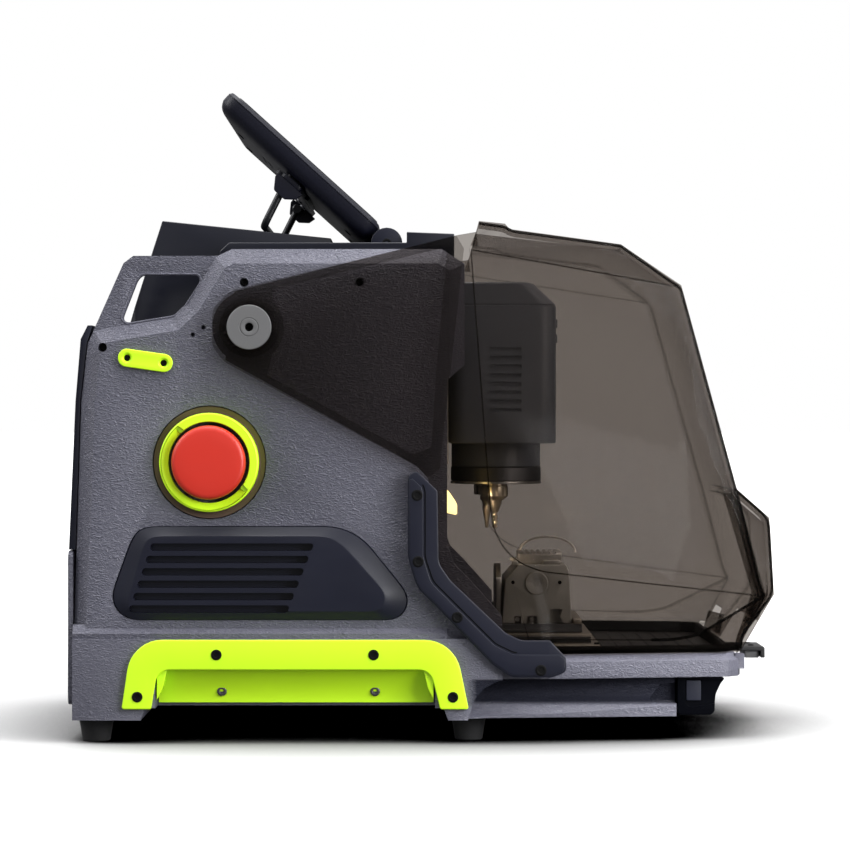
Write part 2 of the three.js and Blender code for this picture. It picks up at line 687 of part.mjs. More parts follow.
add("spindle_flange", headFlange(), DARK_STEEL);
add(
  "cutter_spindle",
  join(
    rodZ(CUTTER.x, CUTTER.y, 7.9, 133, 145.6, 7.9, 20),
    rodZ(CUTTER.x, CUTTER.y, 5.2, 127, 133, 7.9, 20),
    rodZ(CUTTER.x, CUTTER.y, 3, 116, 127, 3, 16),
    rodZ(CUTTER.x, CUTTER.y, 1, 111.5, 116, 3, 12),
  ),
  STEEL,
);
add(
  "tracer_probe",
  join(
    rodZ(PROBE.x, PROBE.y, 3.9, 127.5, 147.5, 3.9, 16),
    rodZ(PROBE.x, PROBE.y, 3, 117, 127.5, 3.9, 16),
    rodZ(PROBE.x, PROBE.y, 1, 111.5, 117, 3, 12),
  ),
  STEEL,
);
add(
  "work_lamp",
  join(
    box(5.5, 9, -78, -58, 122, 142),
    alongY([[9, 124], [20, 121], [20, 126], [9, 140]], -77, -59),
  ),
  LAMP,
);

// ---- cross table and key vise ----

add("table_saddle", cut(box(34, 101, -56, 56, FLOOR, 48), box(60, 75, -60, 60, 46, 50)), ALUMINIUM);
add("y_slide", join(box(38, 97, -40, 40, 48.3, 53), box(60.4, 74.6, -38, 38, 46.3, 49)), ALUMINIUM);
add("x_slide", box(42, 92, -34, 34, 53.3, 58), DARK_STEEL);

function viseBody() {
  const { x0, x1, half } = VISE;
  const block = alongY(
    [[x0, 58], [x1, 58], [x1 - 1.8, 88.5], [x1 - 3.6, 91.8], [x0 + 9.6, 91.8], [x0 + 2, 83]],
    -half,
    half,
  );
  const fixedJaw = alongY([[56, 91.7], [81, 91.7], [81, 97], [79, 98.5], [58, 98.5], [56, 96.5]], 2, 18);
  const undercuts = [[52, 62], [72, 82]].map(([a, b]) =>
    alongX([[-half - 1, 61], [-half + 5, 61], [-half + 5, 66], [-half - 1, 66]], a, b),
  );
  const bore = rodY(VISE.screwX, VISE.screwZ, 3.6, -40, 10, 3.6, 16);
  return cut(join(block, fixedJaw), ...undercuts, bore);
}

add("vise_body", viseBody(), ALUMINIUM);
add(
  "vise_jaw",
  alongY([[56, 92.1], [81, 92.1], [81, 97], [79, 98.5], [58, 98.5], [56, 96.5]], -19, -4),
  STEEL,
);
add(
  "vise_knob",
  join(
    rodY(VISE.screwX, VISE.screwZ, 6.9, -33.6, -30.4, 6.9, 24),
    rodY(VISE.screwX, VISE.screwZ, 3.2, -30.6, 6, 3.2, 14),
  ),
  STEEL,
);

// ---- chip drawer ----

function chipDrawer() {
  const front = alongY(
    [
      [139.6, 34.4], [166.6, 34.4], [161.6, 29], [160.4, 23.2], [160.3, 16.3], [158.4, 13.5], [141, 13.5],
      [139.6, 16],
    ],
    -104,
    104,
  );
  const tray = cut(box(66, 141, -94, 94, 17, 33), box(68, 139, -92, 92, 19, 40));
  return join(front, tray);
}

add("chip_drawer", chipDrawer(), NAVY);

export default machine;
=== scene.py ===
"""Looks of the key duplicating machine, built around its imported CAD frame. Metres, front is +X, up is +Z."""

import math

import bmesh
import bpy
from mathutils import Matrix, Vector


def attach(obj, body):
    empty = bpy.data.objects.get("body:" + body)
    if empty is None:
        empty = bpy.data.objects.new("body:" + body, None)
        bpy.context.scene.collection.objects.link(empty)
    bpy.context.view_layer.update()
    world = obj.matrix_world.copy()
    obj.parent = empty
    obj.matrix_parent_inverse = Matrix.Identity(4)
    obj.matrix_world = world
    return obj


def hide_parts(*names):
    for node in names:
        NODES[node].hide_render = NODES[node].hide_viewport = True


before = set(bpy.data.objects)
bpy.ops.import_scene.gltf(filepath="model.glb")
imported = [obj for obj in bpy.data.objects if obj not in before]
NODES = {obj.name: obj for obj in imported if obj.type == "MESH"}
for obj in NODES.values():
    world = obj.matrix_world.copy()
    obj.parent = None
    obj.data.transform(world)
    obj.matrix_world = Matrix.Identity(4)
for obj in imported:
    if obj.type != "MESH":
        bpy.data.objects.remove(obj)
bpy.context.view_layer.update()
MM = 0.001
SHIFT = -3.7 * MM  # the CAD's own centring along X


def at(x, y, z):
    """A point given in the CAD source's millimetres, in the row frame."""
    return Vector((x * MM + SHIFT, y * MM, z * MM))


# ------------------------------------------------------------------ node materials


class Graph:
    """A material's node tree with short helpers; positions come from object coordinates in metres."""

    def __init__(self, name, rough=0.5, metal=0.0, spec=0.5):
        self.mat = bpy.data.materials.new(name)
        self.mat.use_nodes = True
        self.tree = self.mat.node_tree
        self.bsdf = self.tree.nodes["Principled BSDF"]
        self.bsdf.inputs["Roughness"].default_value = rough
        self.bsdf.inputs["Metallic"].default_value = metal
        self.bsdf.inputs["Specular IOR Level"].default_value = spec
        self.coord = self.tree.nodes.new("ShaderNodeTexCoord").outputs["Object"]

    def node(self, kind, **settings):
        n = self.tree.nodes.new(kind)
        for key, value in settings.items():
            setattr(n, key, value)
        return n

    def link(self, a, b):
        self.tree.links.new(a, b)

    def stretched(self, scale):
        m = self.node("ShaderNodeMapping")
        m.inputs["Scale"].default_value = scale
        self.link(self.coord, m.inputs["Vector"])
        return m.outputs["Vector"]

    def noise(self, scale, detail=3.0, rough=0.5, vector=None, distortion=0.0):
        n = self.node("ShaderNodeTexNoise")
        n.inputs["Scale"].default_value = scale
        n.inputs["Detail"].default_value = detail
        n.inputs["Roughness"].default_value = rough
        n.inputs["Distortion"].default_value = distortion
        self.link(vector or self.coord, n.inputs["Vector"])
        return n.outputs["Fac"]

    def cells(self, scale, vector=None, feature="F1", smooth=None):
        n = self.node("ShaderNodeTexVoronoi", feature=feature)
        n.inputs["Scale"].default_value = scale
        if smooth is not None:
            n.inputs["Smoothness"].default_value = smooth
        self.link(vector or self.coord, n.inputs["Vector"])
        return n.outputs["Distance"]

    def ramp(self, fac, stops):
        n = self.node("ShaderNodeValToRGB")
        while len(n.color_ramp.elements) < len(stops):
            n.color_ramp.elements.new(0.5)
        for element, (position, colour) in zip(n.color_ramp.elements, stops):
            element.position = position
            element.color = colour if len(colour) == 4 else (*colour, 1.0)
        self.link(fac, n.inputs["Fac"])
        return n.outputs["Color"]

    def scaled(self, value, low, high):
        n = self.node("ShaderNodeMapRange")
        n.inputs["To Min"].default_value = low
        n.inputs["To Max"].default_value = high
        self.link(value, n.inputs["Value"])
        return n.outputs["Result"]

    def math(self, op, a, b):
        n = self.node("ShaderNodeMath", operation=op)
        for socket, v in zip(n.inputs, (a, b)):
            if isinstance(v, (int, float)):
                socket.default_value = float(v)
            else:
                self.link(v, socket)
        return n.outputs["Value"]

    def mix(self, fac, a, b, blend="MIX"):
        n = self.node("ShaderNodeMix", data_type="RGBA", blend_type=blend)
        for socket, v in ((n.inputs["Factor"], fac), (n.inputs["A"], a), (n.inputs["B"], b)):
            if isinstance(v, (int, float)):
                socket.default_value = v
            elif isinstance(v, tuple):
                socket.default_value = v if len(v) == 4 else (*v, 1.0)
            else:
                self.link(v, socket)
        return n.outputs["Result"]

    def colour(self, source):
        self.link(source, self.bsdf.inputs["Base Color"])

    def roughness(self, source):
        self.link(source, self.bsdf.inputs["Roughness"])

    def bump(self, heights):
        """Chains (height, distance in metres, strength) bumps into the surface normal."""
        normal = None
        for height, distance, strength in heights:
            n = self.node("ShaderNodeBump")
            n.inputs["Distance"].default_value = distance
            n.inputs["Strength"].default_value = strength
            self.link(height, n.inputs["Height"])
            if normal is not None:
                self.link(normal, n.inputs["Normal"])
            normal = n.outputs["Normal"]
        self.link(normal, self.bsdf.inputs["Normal"])
        return self.mat


def srgb(r, g, b):
    """An sRGB colour of 0 to 255 as linear."""
    return tuple((c / 255 / 12.92) if c <= 10 else ((c / 255 + 0.055) / 1.055) ** 2.4 for c in (r, g, b))


def scale_colour(c, k):
    return tuple(min(1.0, v * k) for v in c)


def leather_cast(name, base, grain=1.0):
    """Painted casting with a pressed leather grain: short slanted wrinkles, creases between them darkened as painted
    shade, light flecks painted in as glints.
    """
    g = Graph(name, rough=0.42, metal=0.1)
    slanted = g.node("ShaderNodeMapping")
    slanted.inputs["Rotation"].default_value = (0.5, math.radians(32), 0.0)
    slanted.inputs["Scale"].default_value = (0.5, 1.0, 1.15)
    g.link(g.coord, slanted.inputs["Vector"])
    wrinkles = g.noise(700, 2.0, 0.5, slanted.outputs["Vector"], 0.6)
    ridge = g.math("ABSOLUTE", g.math("SUBTRACT", wrinkles, 0.5), 0.0)
    broad = g.noise(260, 2, 0.5)
    height = g.math("ADD", g.math("MULTIPLY", ridge, 2.2), g.math("MULTIPLY", broad, 0.5))
    shade = g.ramp(
        g.noise(9, 3, 0.5),
        [(0.3, scale_colour(base, 0.93)), (0.7, scale_colour(base, 1.07))],
    )
    # Painted shade: the colour darkens in the grain's creases.
    creases = g.ramp(ridge, [(0.0, (0.88, 0.88, 0.89)), (0.16, (1.03, 1.03, 1.03))])
    # Painted highlight: light flecks stand in for glints on the grain.
    painted_glints = g.ramp(g.noise(1300, 2, 0.7), [(0.66, (0, 0, 0)), (0.76, (1, 1, 1))])
    tinted = g.mix(1.0, shade, creases, "MULTIPLY")
    g.colour(g.mix(g.math("MULTIPLY", painted_glints, 0.2), tinted, scale_colour(base, 2.2)))
    g.roughness(g.scaled(broad, 0.30, 0.50))
    return g.bump([(height, 0.0007 * grain, 1.0)])


def cove_with_painted_shade(mat, dark):
    """The same casting with painted shade: the smooth band in the cove under its front rim is darkened and made dull,
    where the rim shades it.
    """
    tree = mat.node_tree
    new, link = tree.nodes.new, tree.links.new
    bsdf = tree.nodes["Principled BSDF"]
    split = new("ShaderNodeSeparateXYZ")
    link(new("ShaderNodeTexCoord").outputs["Object"], split.inputs[0])
    masks = []
    for axis, lo, hi in (("Z", 19.6, 21.4), ("Z", 35.2, 34.2), ("X", 24.0, 30.0)):
        step = new("ShaderNodeMapRange")
        step.inputs["From Min"].default_value = lo * MM + (SHIFT if axis == "X" else 0.0)
        step.inputs["From Max"].default_value = hi * MM + (SHIFT if axis == "X" else 0.0)
        link(split.outputs[axis], step.inputs["Value"])
        masks.append(step.outputs["Result"])
    inside = masks[0]
    for other in masks[1:]:
        times = new("ShaderNodeMath")
        times.operation = "MULTIPLY"
        link(inside, times.inputs[0])
        link(other, times.inputs[1])
        inside = times.outputs[0]
    # Painted shade: the cove band under the front rim is mixed towards the dark colour, and its specular sheen is
    # turned down.
    blend = new("ShaderNodeMix")
    blend.data_type = "RGBA"
    colour = bsdf.inputs["Base Color"].links[0].from_socket
    link(inside, blend.inputs["Factor"])
    link(colour, blend.inputs["A"])
    blend.inputs["B"].default_value = (*dark, 1)
    link(blend.outputs["Result"], bsdf.inputs["Base Color"])
    dull = new("ShaderNodeMapRange")
    dull.inputs["To Min"].default_value = 0.5
    dull.inputs["To Max"].default_value = 0.04
    link(inside, dull.inputs["Value"])
    link(dull.outputs["Result"], bsdf.inputs["Specular IOR Level"])
    return mat


def satin(name, base, rough=0.42, grain=0.35, spec=0.5, metal=0.0, var=0.08):
    """Moulded plastic or fine paint: faint cloudiness, fine spark texture, and uneven sheen."""
    g = Graph(name, rough=rough, metal=metal, spec=spec)
    g.colour(
        g.ramp(
            g.noise(22, 4, 0.6),
            [(0.3, scale_colour(base, 1 - var)), (0.7, scale_colour(base, 1 + var))],
        )
    )
    scuffs = g.noise(60, 5, 0.65, g.stretched((1.0, 1.0, 3.2)))
    g.roughness(g.scaled(scuffs, rough - 0.08, rough + 0.12))
    return g.bump([(g.noise(1700, 2, 0.6), 0.00006, grain), (g.noise(30, 2), 0.0002, 0.06)])


def machined(name, base, rough=0.3, stretch=(1.0, 1.0, 40.0), lines=90, dark=0.78):
    """Ground or turned metal: long fine tool lines, faint stains."""
    g = Graph(name, rough=rough, metal=1.0)
    brushed = g.noise(lines, 6, 0.7, g.stretched(stretch))
    stains = g.noise(45, 4, 0.6)
    g.colour(g.mix(g.scaled(stains, 0.0, 0.5), scale_colour(base, 1.05), scale_colour(base, dark)))
    g.roughness(g.scaled(brushed, rough - 0.07, rough + 0.14))
    return g.bump([(brushed, 0.00008, 0.3)])


def rubber(name, base):
    g = Graph(name, rough=0.75, spec=0.35)
    dust = g.noise(120, 6, 0.7)
    g.colour(g.mix(g.scaled(dust, 0.0, 0.25), base, (0.06, 0.06, 0.065)))
    g.roughness(g.scaled(dust, 0.66, 0.86))
    return g.bump([(g.noise(1400, 3, 0.6), 0.0001, 0.5)])


def near_side(g):
    """1 on the half of the cover (left or right of its middle) that faces the viewer, 0 on the other half."""
    place, sight = g.node("ShaderNodeSeparateXYZ"), g.node("ShaderNodeSeparateXYZ")
    g.link(g.coord, place.inputs[0])
    g.link(g.node("ShaderNodeNewGeometry").outputs["Incoming"], sight.inputs[0])
    half = g.math("MULTIPLY", place.outputs["Y"], 40.0)
    toward = g.math("MULTIPLY", half, sight.outputs["Y"])
    step = g.node("ShaderNodeMapRange")
    step.inputs["From Min"].default_value = -1.6
    step.inputs["From Max"].default_value = 0.4
    g.link(toward, step.inputs["Value"])
    return step.outputs["Result"]


def smoke(name, through, edge, sheen=0.05, far=None):
    """Smoked clear plastic: each surface tints what is behind it, and more so where it is seen edge-on.
    With far given, an edge on the side of the cover turned away from the viewer fades to that tint."""
    g = Graph(name, rough=0.08, spec=0.5)
    facing = g.node("ShaderNodeLayerWeight")
    facing.inputs["Blend"].default_value = 0.3
    rim = g.math("POWER", facing.outputs["Facing"], 4.0)
    clear = g.node("ShaderNodeBsdfTransparent")
    cloud = g.ramp(g.noise(7, 2, 0.5), [(0.3, scale_colour(through, 0.985)), (0.7, through)])
    tint = g.mix(rim, cloud, edge)
    if far:
        tint = g.mix(near_side(g), far, tint)
    g.link(tint, clear.inputs["Color"])
    g.colour(g.ramp(g.noise(40, 3, 0.6), [(0.3, (0.006, 0.005, 0.0045)), (0.7, (0.010, 0.0085, 0.007))]))
    g.roughness(g.scaled(g.noise(70, 5, 0.7, g.stretched((1, 1, 4))), 0.05, 0.14))
    g.bump([(g.noise(14, 2, 0.5), 0.0004, 0.04)])
    both = g.node("ShaderNodeMixShader")
    g.link(g.math("ADD", g.math("MULTIPLY", rim, 0.35), sheen), both.inputs["Fac"])
    g.link(clear.outputs["BSDF"], both.inputs[1])
    g.link(g.bsdf.outputs["BSDF"], both.inputs[2])
    g.link(both.outputs["Shader"], g.tree.nodes["Material Output"].inputs["Surface"])
    g.bsdf.inputs["Alpha"].default_value = 0.45
    return g.mat


def glow(name, colour, strength):
    g = Graph(name, rough=0.4)
    hot = g.ramp(g.noise(140, 2), [(0.3, scale_colour(colour, 0.9)), (0.7, colour)])
    g.colour(hot)
    g.link(hot, g.bsdf.inputs["Emission Color"])
    g.bsdf.inputs["Emission Strength"].default_value = strength
    return g.bump([(g.noise(900, 2), 0.00005, 0.2)])


def glass_screen(name):
    g = Graph(name, rough=0.08, spec=0.6)
    g.colour(g.ramp(g.noise(6, 2), [(0.3, (0.004, 0.0045, 0.006)), (0.7, (0.008, 0.009, 0.012))]))
    g.roughness(g.scaled(g.noise(55, 6, 0.75), 0.05, 0.17))
    return g.bump([(g.noise(12, 2), 0.0003, 0.02)])


GREY = leather_cast("cast_grey_leather", srgb(84, 84, 96))
GREY_FINE = leather_cast("cast_grey_fine", srgb(88, 88, 100), 0.7)
# The base casting, with painted shade in the cove under its front rim.
BASE_GREY = cove_with_painted_shade(leather_cast("cast_grey_base", srgb(96, 96, 108), 0.7), srgb(34, 35, 44))
NAVY = satin("navy_plastic", srgb(17, 19, 33), rough=0.36, grain=0.1, spec=0.35)
NAVY_DECK = satin("navy_deck", srgb(12, 14, 27), rough=0.3, grain=0.0, spec=0.45)
NAVY_SHELL = satin("navy_tablet_shell", srgb(12, 13, 25), rough=0.42, grain=0.0, spec=0.22)
LIME = satin("lime_plastic", srgb(200, 250, 28), rough=0.42, var=0.02)
RED = satin("red_plastic", srgb(190, 40, 25), rough=0.38, var=0.03)
BLACK = satin("black_plastic", srgb(18, 18, 20), rough=0.5)
# Black paint drawn as a light bluish grey: the grey is a painted sheen of the bright surroundings, and the blue offsets
# the lamp's warm light.
HEAD_GREY_PAINTED_SHEEN = satin("head_black_paint", srgb(84, 87, 95), rough=0.42, grain=0.3)
BRONZE = satin("bronze_ring", srgb(88, 68, 60), rough=0.5, metal=0.3)
WASHER = satin("washer_grey", srgb(101, 101, 102), rough=0.45, metal=0.2, var=0.02)
RUBBER = rubber("foot_rubber", srgb(16, 16, 17))
STEEL = machined("ground_steel", (0.62, 0.60, 0.57), 0.27)
TURNED = machined("turned_steel", (0.66, 0.62, 0.55), 0.22, (60.0, 60.0, 1.0), 60)
DARK_STEEL = machined("black_oxide_steel", (0.10, 0.10, 0.105), 0.45)
ALU = machined("machined_aluminium", (0.42, 0.38, 0.33), 0.36, (1.0, 30.0, 30.0), 70)
SCREW = satin("black_screw", srgb(7, 7, 8), rough=0.6, grain=0.1, spec=0.12)
# Near-black drawn inside holes, along the rail grooves and behind the louvres: painted shade.
PAINTED_SHADE_BLACK = satin("hole_painted_shade_black", srgb(3, 3, 4), rough=0.9, spec=0.1)
SCREW_GREY = machined("grey_screw", (0.11, 0.11, 0.12), 0.4)
WIRE = satin("black_wire_coat", srgb(16, 17, 22), rough=0.35, metal=0.4)
BOARD = satin("solder_mask_green", srgb(24, 70, 45), rough=0.35)
SMOKE = smoke("smoked_cover", (0.605, 0.58, 0.56), (0.34, 0.31, 0.29), 0.07)
SMOKE_EDGE = smoke("smoked_cover_edge", (0.45, 0.43, 0.41), (0.14, 0.13, 0.12), 0.08)
SMOKE_BORDER = smoke("smoked_cover_border", (0.80, 0.79, 0.78), (0.45, 0.43, 0.41), 0.12)
LAMP = glow("lamp_lens", srgb(255, 226, 150), 6.0)
SCREEN = glass_screen("tablet_glass")
MARK = satin("printed_mark_white", srgb(200, 200, 205), rough=0.6)

NODE_MATERIALS = {
    GREY: "side_panel_right side_panel_left rear_panel_lower",
    BASE_GREY: "base_casting",
    NAVY: "vent_grille_right vent_grille_left guard_rail_right guard_rail_left rear_cover_upper "
    "tablet_body tablet_hinge chip_drawer",
    NAVY_DECK: "top_deck",
    LIME: "grip_trim_right grip_trim_left badge_right badge_left estop_collar",
    SMOKE: "cover_shell",
    RED: "estop_button power_rocker",
    BRONZE: "estop_recess_ring",
    WASHER: "pivot_pin_right pivot_pin_left",
    RUBBER: "foot_rear_right foot_rear_left foot_front_right foot_front_left",
    BLACK: "estop_contact_block cover_pull_tab fan_guard fan_rotor fan_frame power_inlet prop_bracket "
    "chamber_floor front_bulkhead",
    HEAD_GREY_PAINTED_SHEEN: "spindle_housing",
    WIRE: "prop_bail",
    STEEL: "cover_catch head_rail_right head_rail_left vise_jaw",
    TURNED: "z_leadscrew cutter_spindle tracer_probe vise_knob",
    DARK_STEEL: "spindle_flange x_slide",
    ALU: "head_carriage table_saddle y_slide vise_body power_supply",
    BOARD: "control_board",
    LAMP: "work_lamp",
    SCREEN: "tablet_screen",
}
EDGES = {  # rounding of a carried-over node's edges, in millimetres
    "side_panel_right": 0.9, "side_panel_left": 0.9, "base_casting": 1.0, "top_deck": 1.4,
    "vent_grille_right": 0.7, "vent_grille_left": 0.7, "chip_drawer": 1.2, "vise_body": 0.5,
    "rear_cover_upper": 0.4, "rear_panel_lower": 0.6, "tablet_screen": 0.15, "cover_pull_tab": 0.7,
}


def rounded(obj, width_mm, segments=2, edge_material=-1):
    """Welds, merges flat facets and rounds the real edges, without touching the mesh itself."""
    weld = obj.modifiers.new("weld", "WELD")
    weld.merge_threshold = 1e-5
    flat = obj.modifiers.new("flat", "DECIMATE")
    flat.decimate_type = "DISSOLVE"
    flat.angle_limit = math.radians(0.6)
    bevel = obj.modifiers.new("bevel", "BEVEL")
    bevel.limit_method = "ANGLE"
    bevel.angle_limit = math.radians(22)
    bevel.width = width_mm * MM
    bevel.segments = segments
    bevel.material = edge_material
    bevel.harden_normals = True
    for p in obj.data.polygons:
        p.use_smooth = True
    return bevel


for material, names in NODE_MATERIALS.items():
    for n in names.split():
        node = NODES[n]
        node.data.materials.clear()
        node.data.materials.append(material)
        if n == "cover_shell":
            node.data.materials.append(SMOKE_EDGE)
        rounded(node, EDGES.get(n, 0.35), edge_material=1 if n == "cover_shell" else -1)


# ------------------------------------------------------------------ making pieces

TO_ROW = Matrix.Translation((SHIFT, 0, 0)) @ Matrix.Scale(MM, 4)


def piece(name, bm, material, body=None, sharp=35):
    """A shown object from a bmesh in the CAD's millimetres; edges turning less than sharp degrees are smooth."""
    bmesh.ops.remove_doubles(bm, verts=bm.verts, dist=1e-3)
    bmesh.ops.recalc_face_normals(bm, faces=bm.faces)
    bmesh.ops.transform(bm, matrix=TO_ROW, verts=bm.verts)
    me = bpy.data.meshes.new(name)
    bm.to_mesh(me)
    bm.free()
    for p in me.polygons:
        p.use_smooth = True
    me.set_sharp_from_angle(angle=math.radians(sharp))
    obj = bpy.data.objects.new(name, me)
    bpy.context.scene.collection.objects.link(obj)
    me.materials.append(material)
    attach(obj, body or "chassis")
    return obj


def fillet(points, radius=0.0, closed=True):
    """An outline with its corners turned into arcs; a point's third number is its own radius."""
    out = []
    n = len(points)
    for i, p in enumerate(points):
        r = p[2] if len(p) > 2 else radius
        here = Vector(p[:2])
        if r <= 0 or (not closed and i in (0, n - 1)):
            out.append(here)
            continue
        a = Vector(points[i - 1][:2]) - here
        b = Vector(points[(i + 1) % n][:2]) - here
        half = a.angle(b) / 2
        if half > math.radians(88):
            out.append(here)
            continue
        reach = min(r / math.tan(half), 0.49 * a.length, 0.49 * b.length)
        r = reach * math.tan(half)
        centre = here + (a.normalized() + b.normalized()).normalized() * (r / math.sin(half))
        start = here + a.normalized() * reach - centre
        end = here + b.normalized() * reach - centre
        sweep = start.angle_signed(end)
        steps = max(2, int(abs(sweep) / math.radians(9)))
        for k in range(steps + 1):
            turn = -sweep * k / steps
            c, s = math.cos(turn), math.sin(turn)
            out.append(centre + Vector((start.x * c - start.y * s, start.x * s + start.y * c)))
    return out


def circle(cx, cy, r, steps=40):
    return [Vector((cx + r * math.cos(2 * math.pi * i / steps), cy + r * math.sin(2 * math.pi * i / steps))) for i in range(steps)]


# Frames that lay a flat drawing (u, v) out in the machine, its thickness growing along the third axis.
RIGHT = Matrix(((1, 0, 0, 0), (0, 0, -1, 0), (0, 1, 0, 0), (0, 0, 0, 1)))  # u = X, v = Z, grows to -Y
LEFT = Matrix(((1, 0, 0, 0), (0, 0, 1, 0), (0, 1, 0, 0), (0, 0, 0, 1)))  # u = X, v = Z, grows to +Y
UP = Matrix.Identity(4)  # u = X, v = Y, grows to +Z
BACK = Matrix(((0, 0, -1, 0), (1, 0, 0, 0), (0, 1, 0, 0), (0, 0, 0, 1)))  # u = Y, v = Z, grows to -X
FRONT = Matrix(((0, 0, 1, 0), (1, 0, 0, 0), (0, 1, 0, 0), (0, 0, 0, 1)))  # u = Y, v = Z, grows to +X


def slab(loops, d0, d1, frame_matrix, bevel=0.0, steps=3):
    """A bmesh plate between depths d0 and d1 from an outline and its holes, with rounded rims."""
    curve = bpy.data.curves.new("outline", "CURVE")
    curve.dimensions = "2D"
    curve.fill_mode = "BOTH"
    for loop in loops:
        spline = curve.splines.new("POLY")
        spline.points.add(len(loop) - 1)
        for point, p in zip(spline.points, loop):
            point.co = (p[0], p[1], 0, 1)
        spline.use_cyclic_u = True
    curve.extrude = abs(d1 - d0) / 2 - bevel
    curve.bevel_depth = bevel
    curve.bevel_resolution = steps
    curve.offset = -bevel
    obj = bpy.data.objects.new("outline", curve)
    me = bpy.data.meshes.new_from_object(obj)
    bm = bmesh.new()
    bm.from_mesh(me)
    bpy.data.objects.remove(obj)
    bpy.data.curves.remove(curve)
    bpy.data.meshes.remove(me)
    bmesh.ops.remove_doubles(bm, verts=bm.verts, dist=1e-3)
    bmesh.ops.dissolve_limit(bm, angle_limit=math.radians(0.5), verts=bm.verts, edges=bm.edges)
    bmesh.ops.triangulate(bm, faces=[f for f in bm.faces if len(f.verts) > 4])
    bmesh.ops.transform(bm, matrix=frame_matrix @ Matrix.Translation((0, 0, (d0 + d1) / 2)), verts=bm.verts)
    return bm


def merged(*parts):
    """One bmesh that holds all the given ones."""
    first = parts[0]
    for other in parts[1:]:
        me = bpy.data.meshes.new("join")
        other.to_mesh(me)
        first.from_mesh(me)
        bpy.data.meshes.remove(me)
        other.free()
    return first


def turned(profile, centre, frame_matrix, steps=48, shape=None):
    """A lathe about an axis: (radius, depth) pairs swept round; shape(angle, index) scales a radius."""
    bm = bmesh.new()
    rings = []
    for k, (r, d) in enumerate(profile):
        if r <= 1e-6:
            rings.append([bm.verts.new((centre[0], centre[1], d))])
            continue
        ring = []
        for i in range(steps):
            t = 2 * math.pi * i / steps
            rr = r * (shape(t, k) if shape else 1.0)
            ring.append(bm.verts.new((centre[0] + rr * math.cos(t), centre[1] + rr * math.sin(t), d)))
        rings.append(ring)
    for a, b in zip(rings, rings[1:]):
        for i in range(steps):
            j = (i + 1) % steps
            corners = [a[i % len(a)], a[j % len(a)], b[j % len(b)], b[i % len(b)]]
            unique = list(dict.fromkeys(corners))
            if len(unique) > 2:
                bm.faces.new(unique)
    bmesh.ops.transform(bm, matrix=frame_matrix, verts=bm.verts)
    return bm


def closed_ring(profile, centre, frame_matrix, steps=64, shape=None):
    """A lathe whose profile closes on itself, such as a washer or a collar."""
    return turned([*profile, profile[0]], centre, frame_matrix, steps, shape)


def tube(points, radius, steps=10, closed=False):
    """A round bar or cable along a path of 3-D points, with capped ends."""
    path = [Vector(p) for p in points]
    bm = bmesh.new()
    n = len(path)
    normal = None
    rings = []
    for i, p in enumerate(path):
        before = path[i - 1] if i or closed else p
        after = path[(i + 1) % n] if i < n - 1 or closed else p
        along = (after - before).normalized()
        if normal is None:
            normal = along.orthogonal().normalized()
        normal = (normal - along * normal.dot(along)).normalized()
        side = along.cross(normal)
        rings.append(
            [
                bm.verts.new(p + radius * (math.cos(t) * normal + math.sin(t) * side))
                for t in (2 * math.pi * k / steps for k in range(steps))
            ]
        )
    pairs = list(zip(rings, rings[1:])) + ([(rings[-1], rings[0])] if closed else [])
    for a, b in pairs:
        for k in range(steps):
            bm.faces.new((a[k], a[(k + 1) % steps], b[(k + 1) % steps], b[k]))
    if not closed:
        bm.faces.new(rings[0])
        bm.faces.new(rings[-1])
    return bm


def smooth_path(points, per=8):
    """A Catmull-Rom path through the given 3-D points."""
    p = [Vector(q) for q in points]
    p = [p[0] * 2 - p[1], *p, p[-1] * 2 - p[-2]]
    out = []
    for i in range(1, len(p) - 2):
        for k in range(per):
            t = k / per
            out.append(
                0.5 * ((2 * p[i]) + (p[i + 1] - p[i - 1]) * t
                       + (2 * p[i - 1] - 5 * p[i] + 4 * p[i + 1] - p[i + 2]) * t * t
                       + (3 * p[i] - p[i - 1] - 3 * p[i + 1] + p[i + 2]) * t ** 3)
            )
    out.append(p[-2])
    return out


def hexagonal(steps, first):
    """Turns the rings from index first on into hexagons, for a socket."""
    def shape(t, k):
        if k < first:
            return 1.0
        return math.cos(math.pi / 6) / math.cos((t % (math.pi / 3)) - math.pi / 6)
    return shape


def screw_head(x, z, r, face, height, side=RIGHT, socket=0.5, steps=24):
    """A button screw with a hexagon socket standing height above depth face."""
    top = face + height
    seat = face - 0.6
    depth = min(0.62 * r, 0.55 * height)
    profile = [
        (0.0, seat), (r, seat), (r, top - 0.45 * height), (r * 0.93, top - 0.12 * height),
        (r * 0.82, top), (r * (socket + 0.08), top), (r * socket, top - 0.1), (r * socket, top - depth), (0.0, top - depth - 0.05),
    ]
    return turned(profile, (x, z), side, steps, hexagonal(steps, 5))


SIDES = (("right", RIGHT), ("left", LEFT))


# ------------------------------------------------------------------ carving and lofting

def cutter_object(bm):
    bmesh.ops.remove_doubles(bm, verts=bm.verts, dist=1e-3)
    bmesh.ops.recalc_face_normals(bm, faces=bm.faces)
    bmesh.ops.transform(bm, matrix=TO_ROW, verts=bm.verts)
    me = bpy.data.meshes.new("cutter")
    bm.to_mesh(me)
    bm.free()
    cutter = bpy.data.objects.new("cutter", me)
    bpy.context.scene.collection.objects.link(cutter)
    cutter.hide_render = True
    cutter.hide_viewport = True
    return cutter


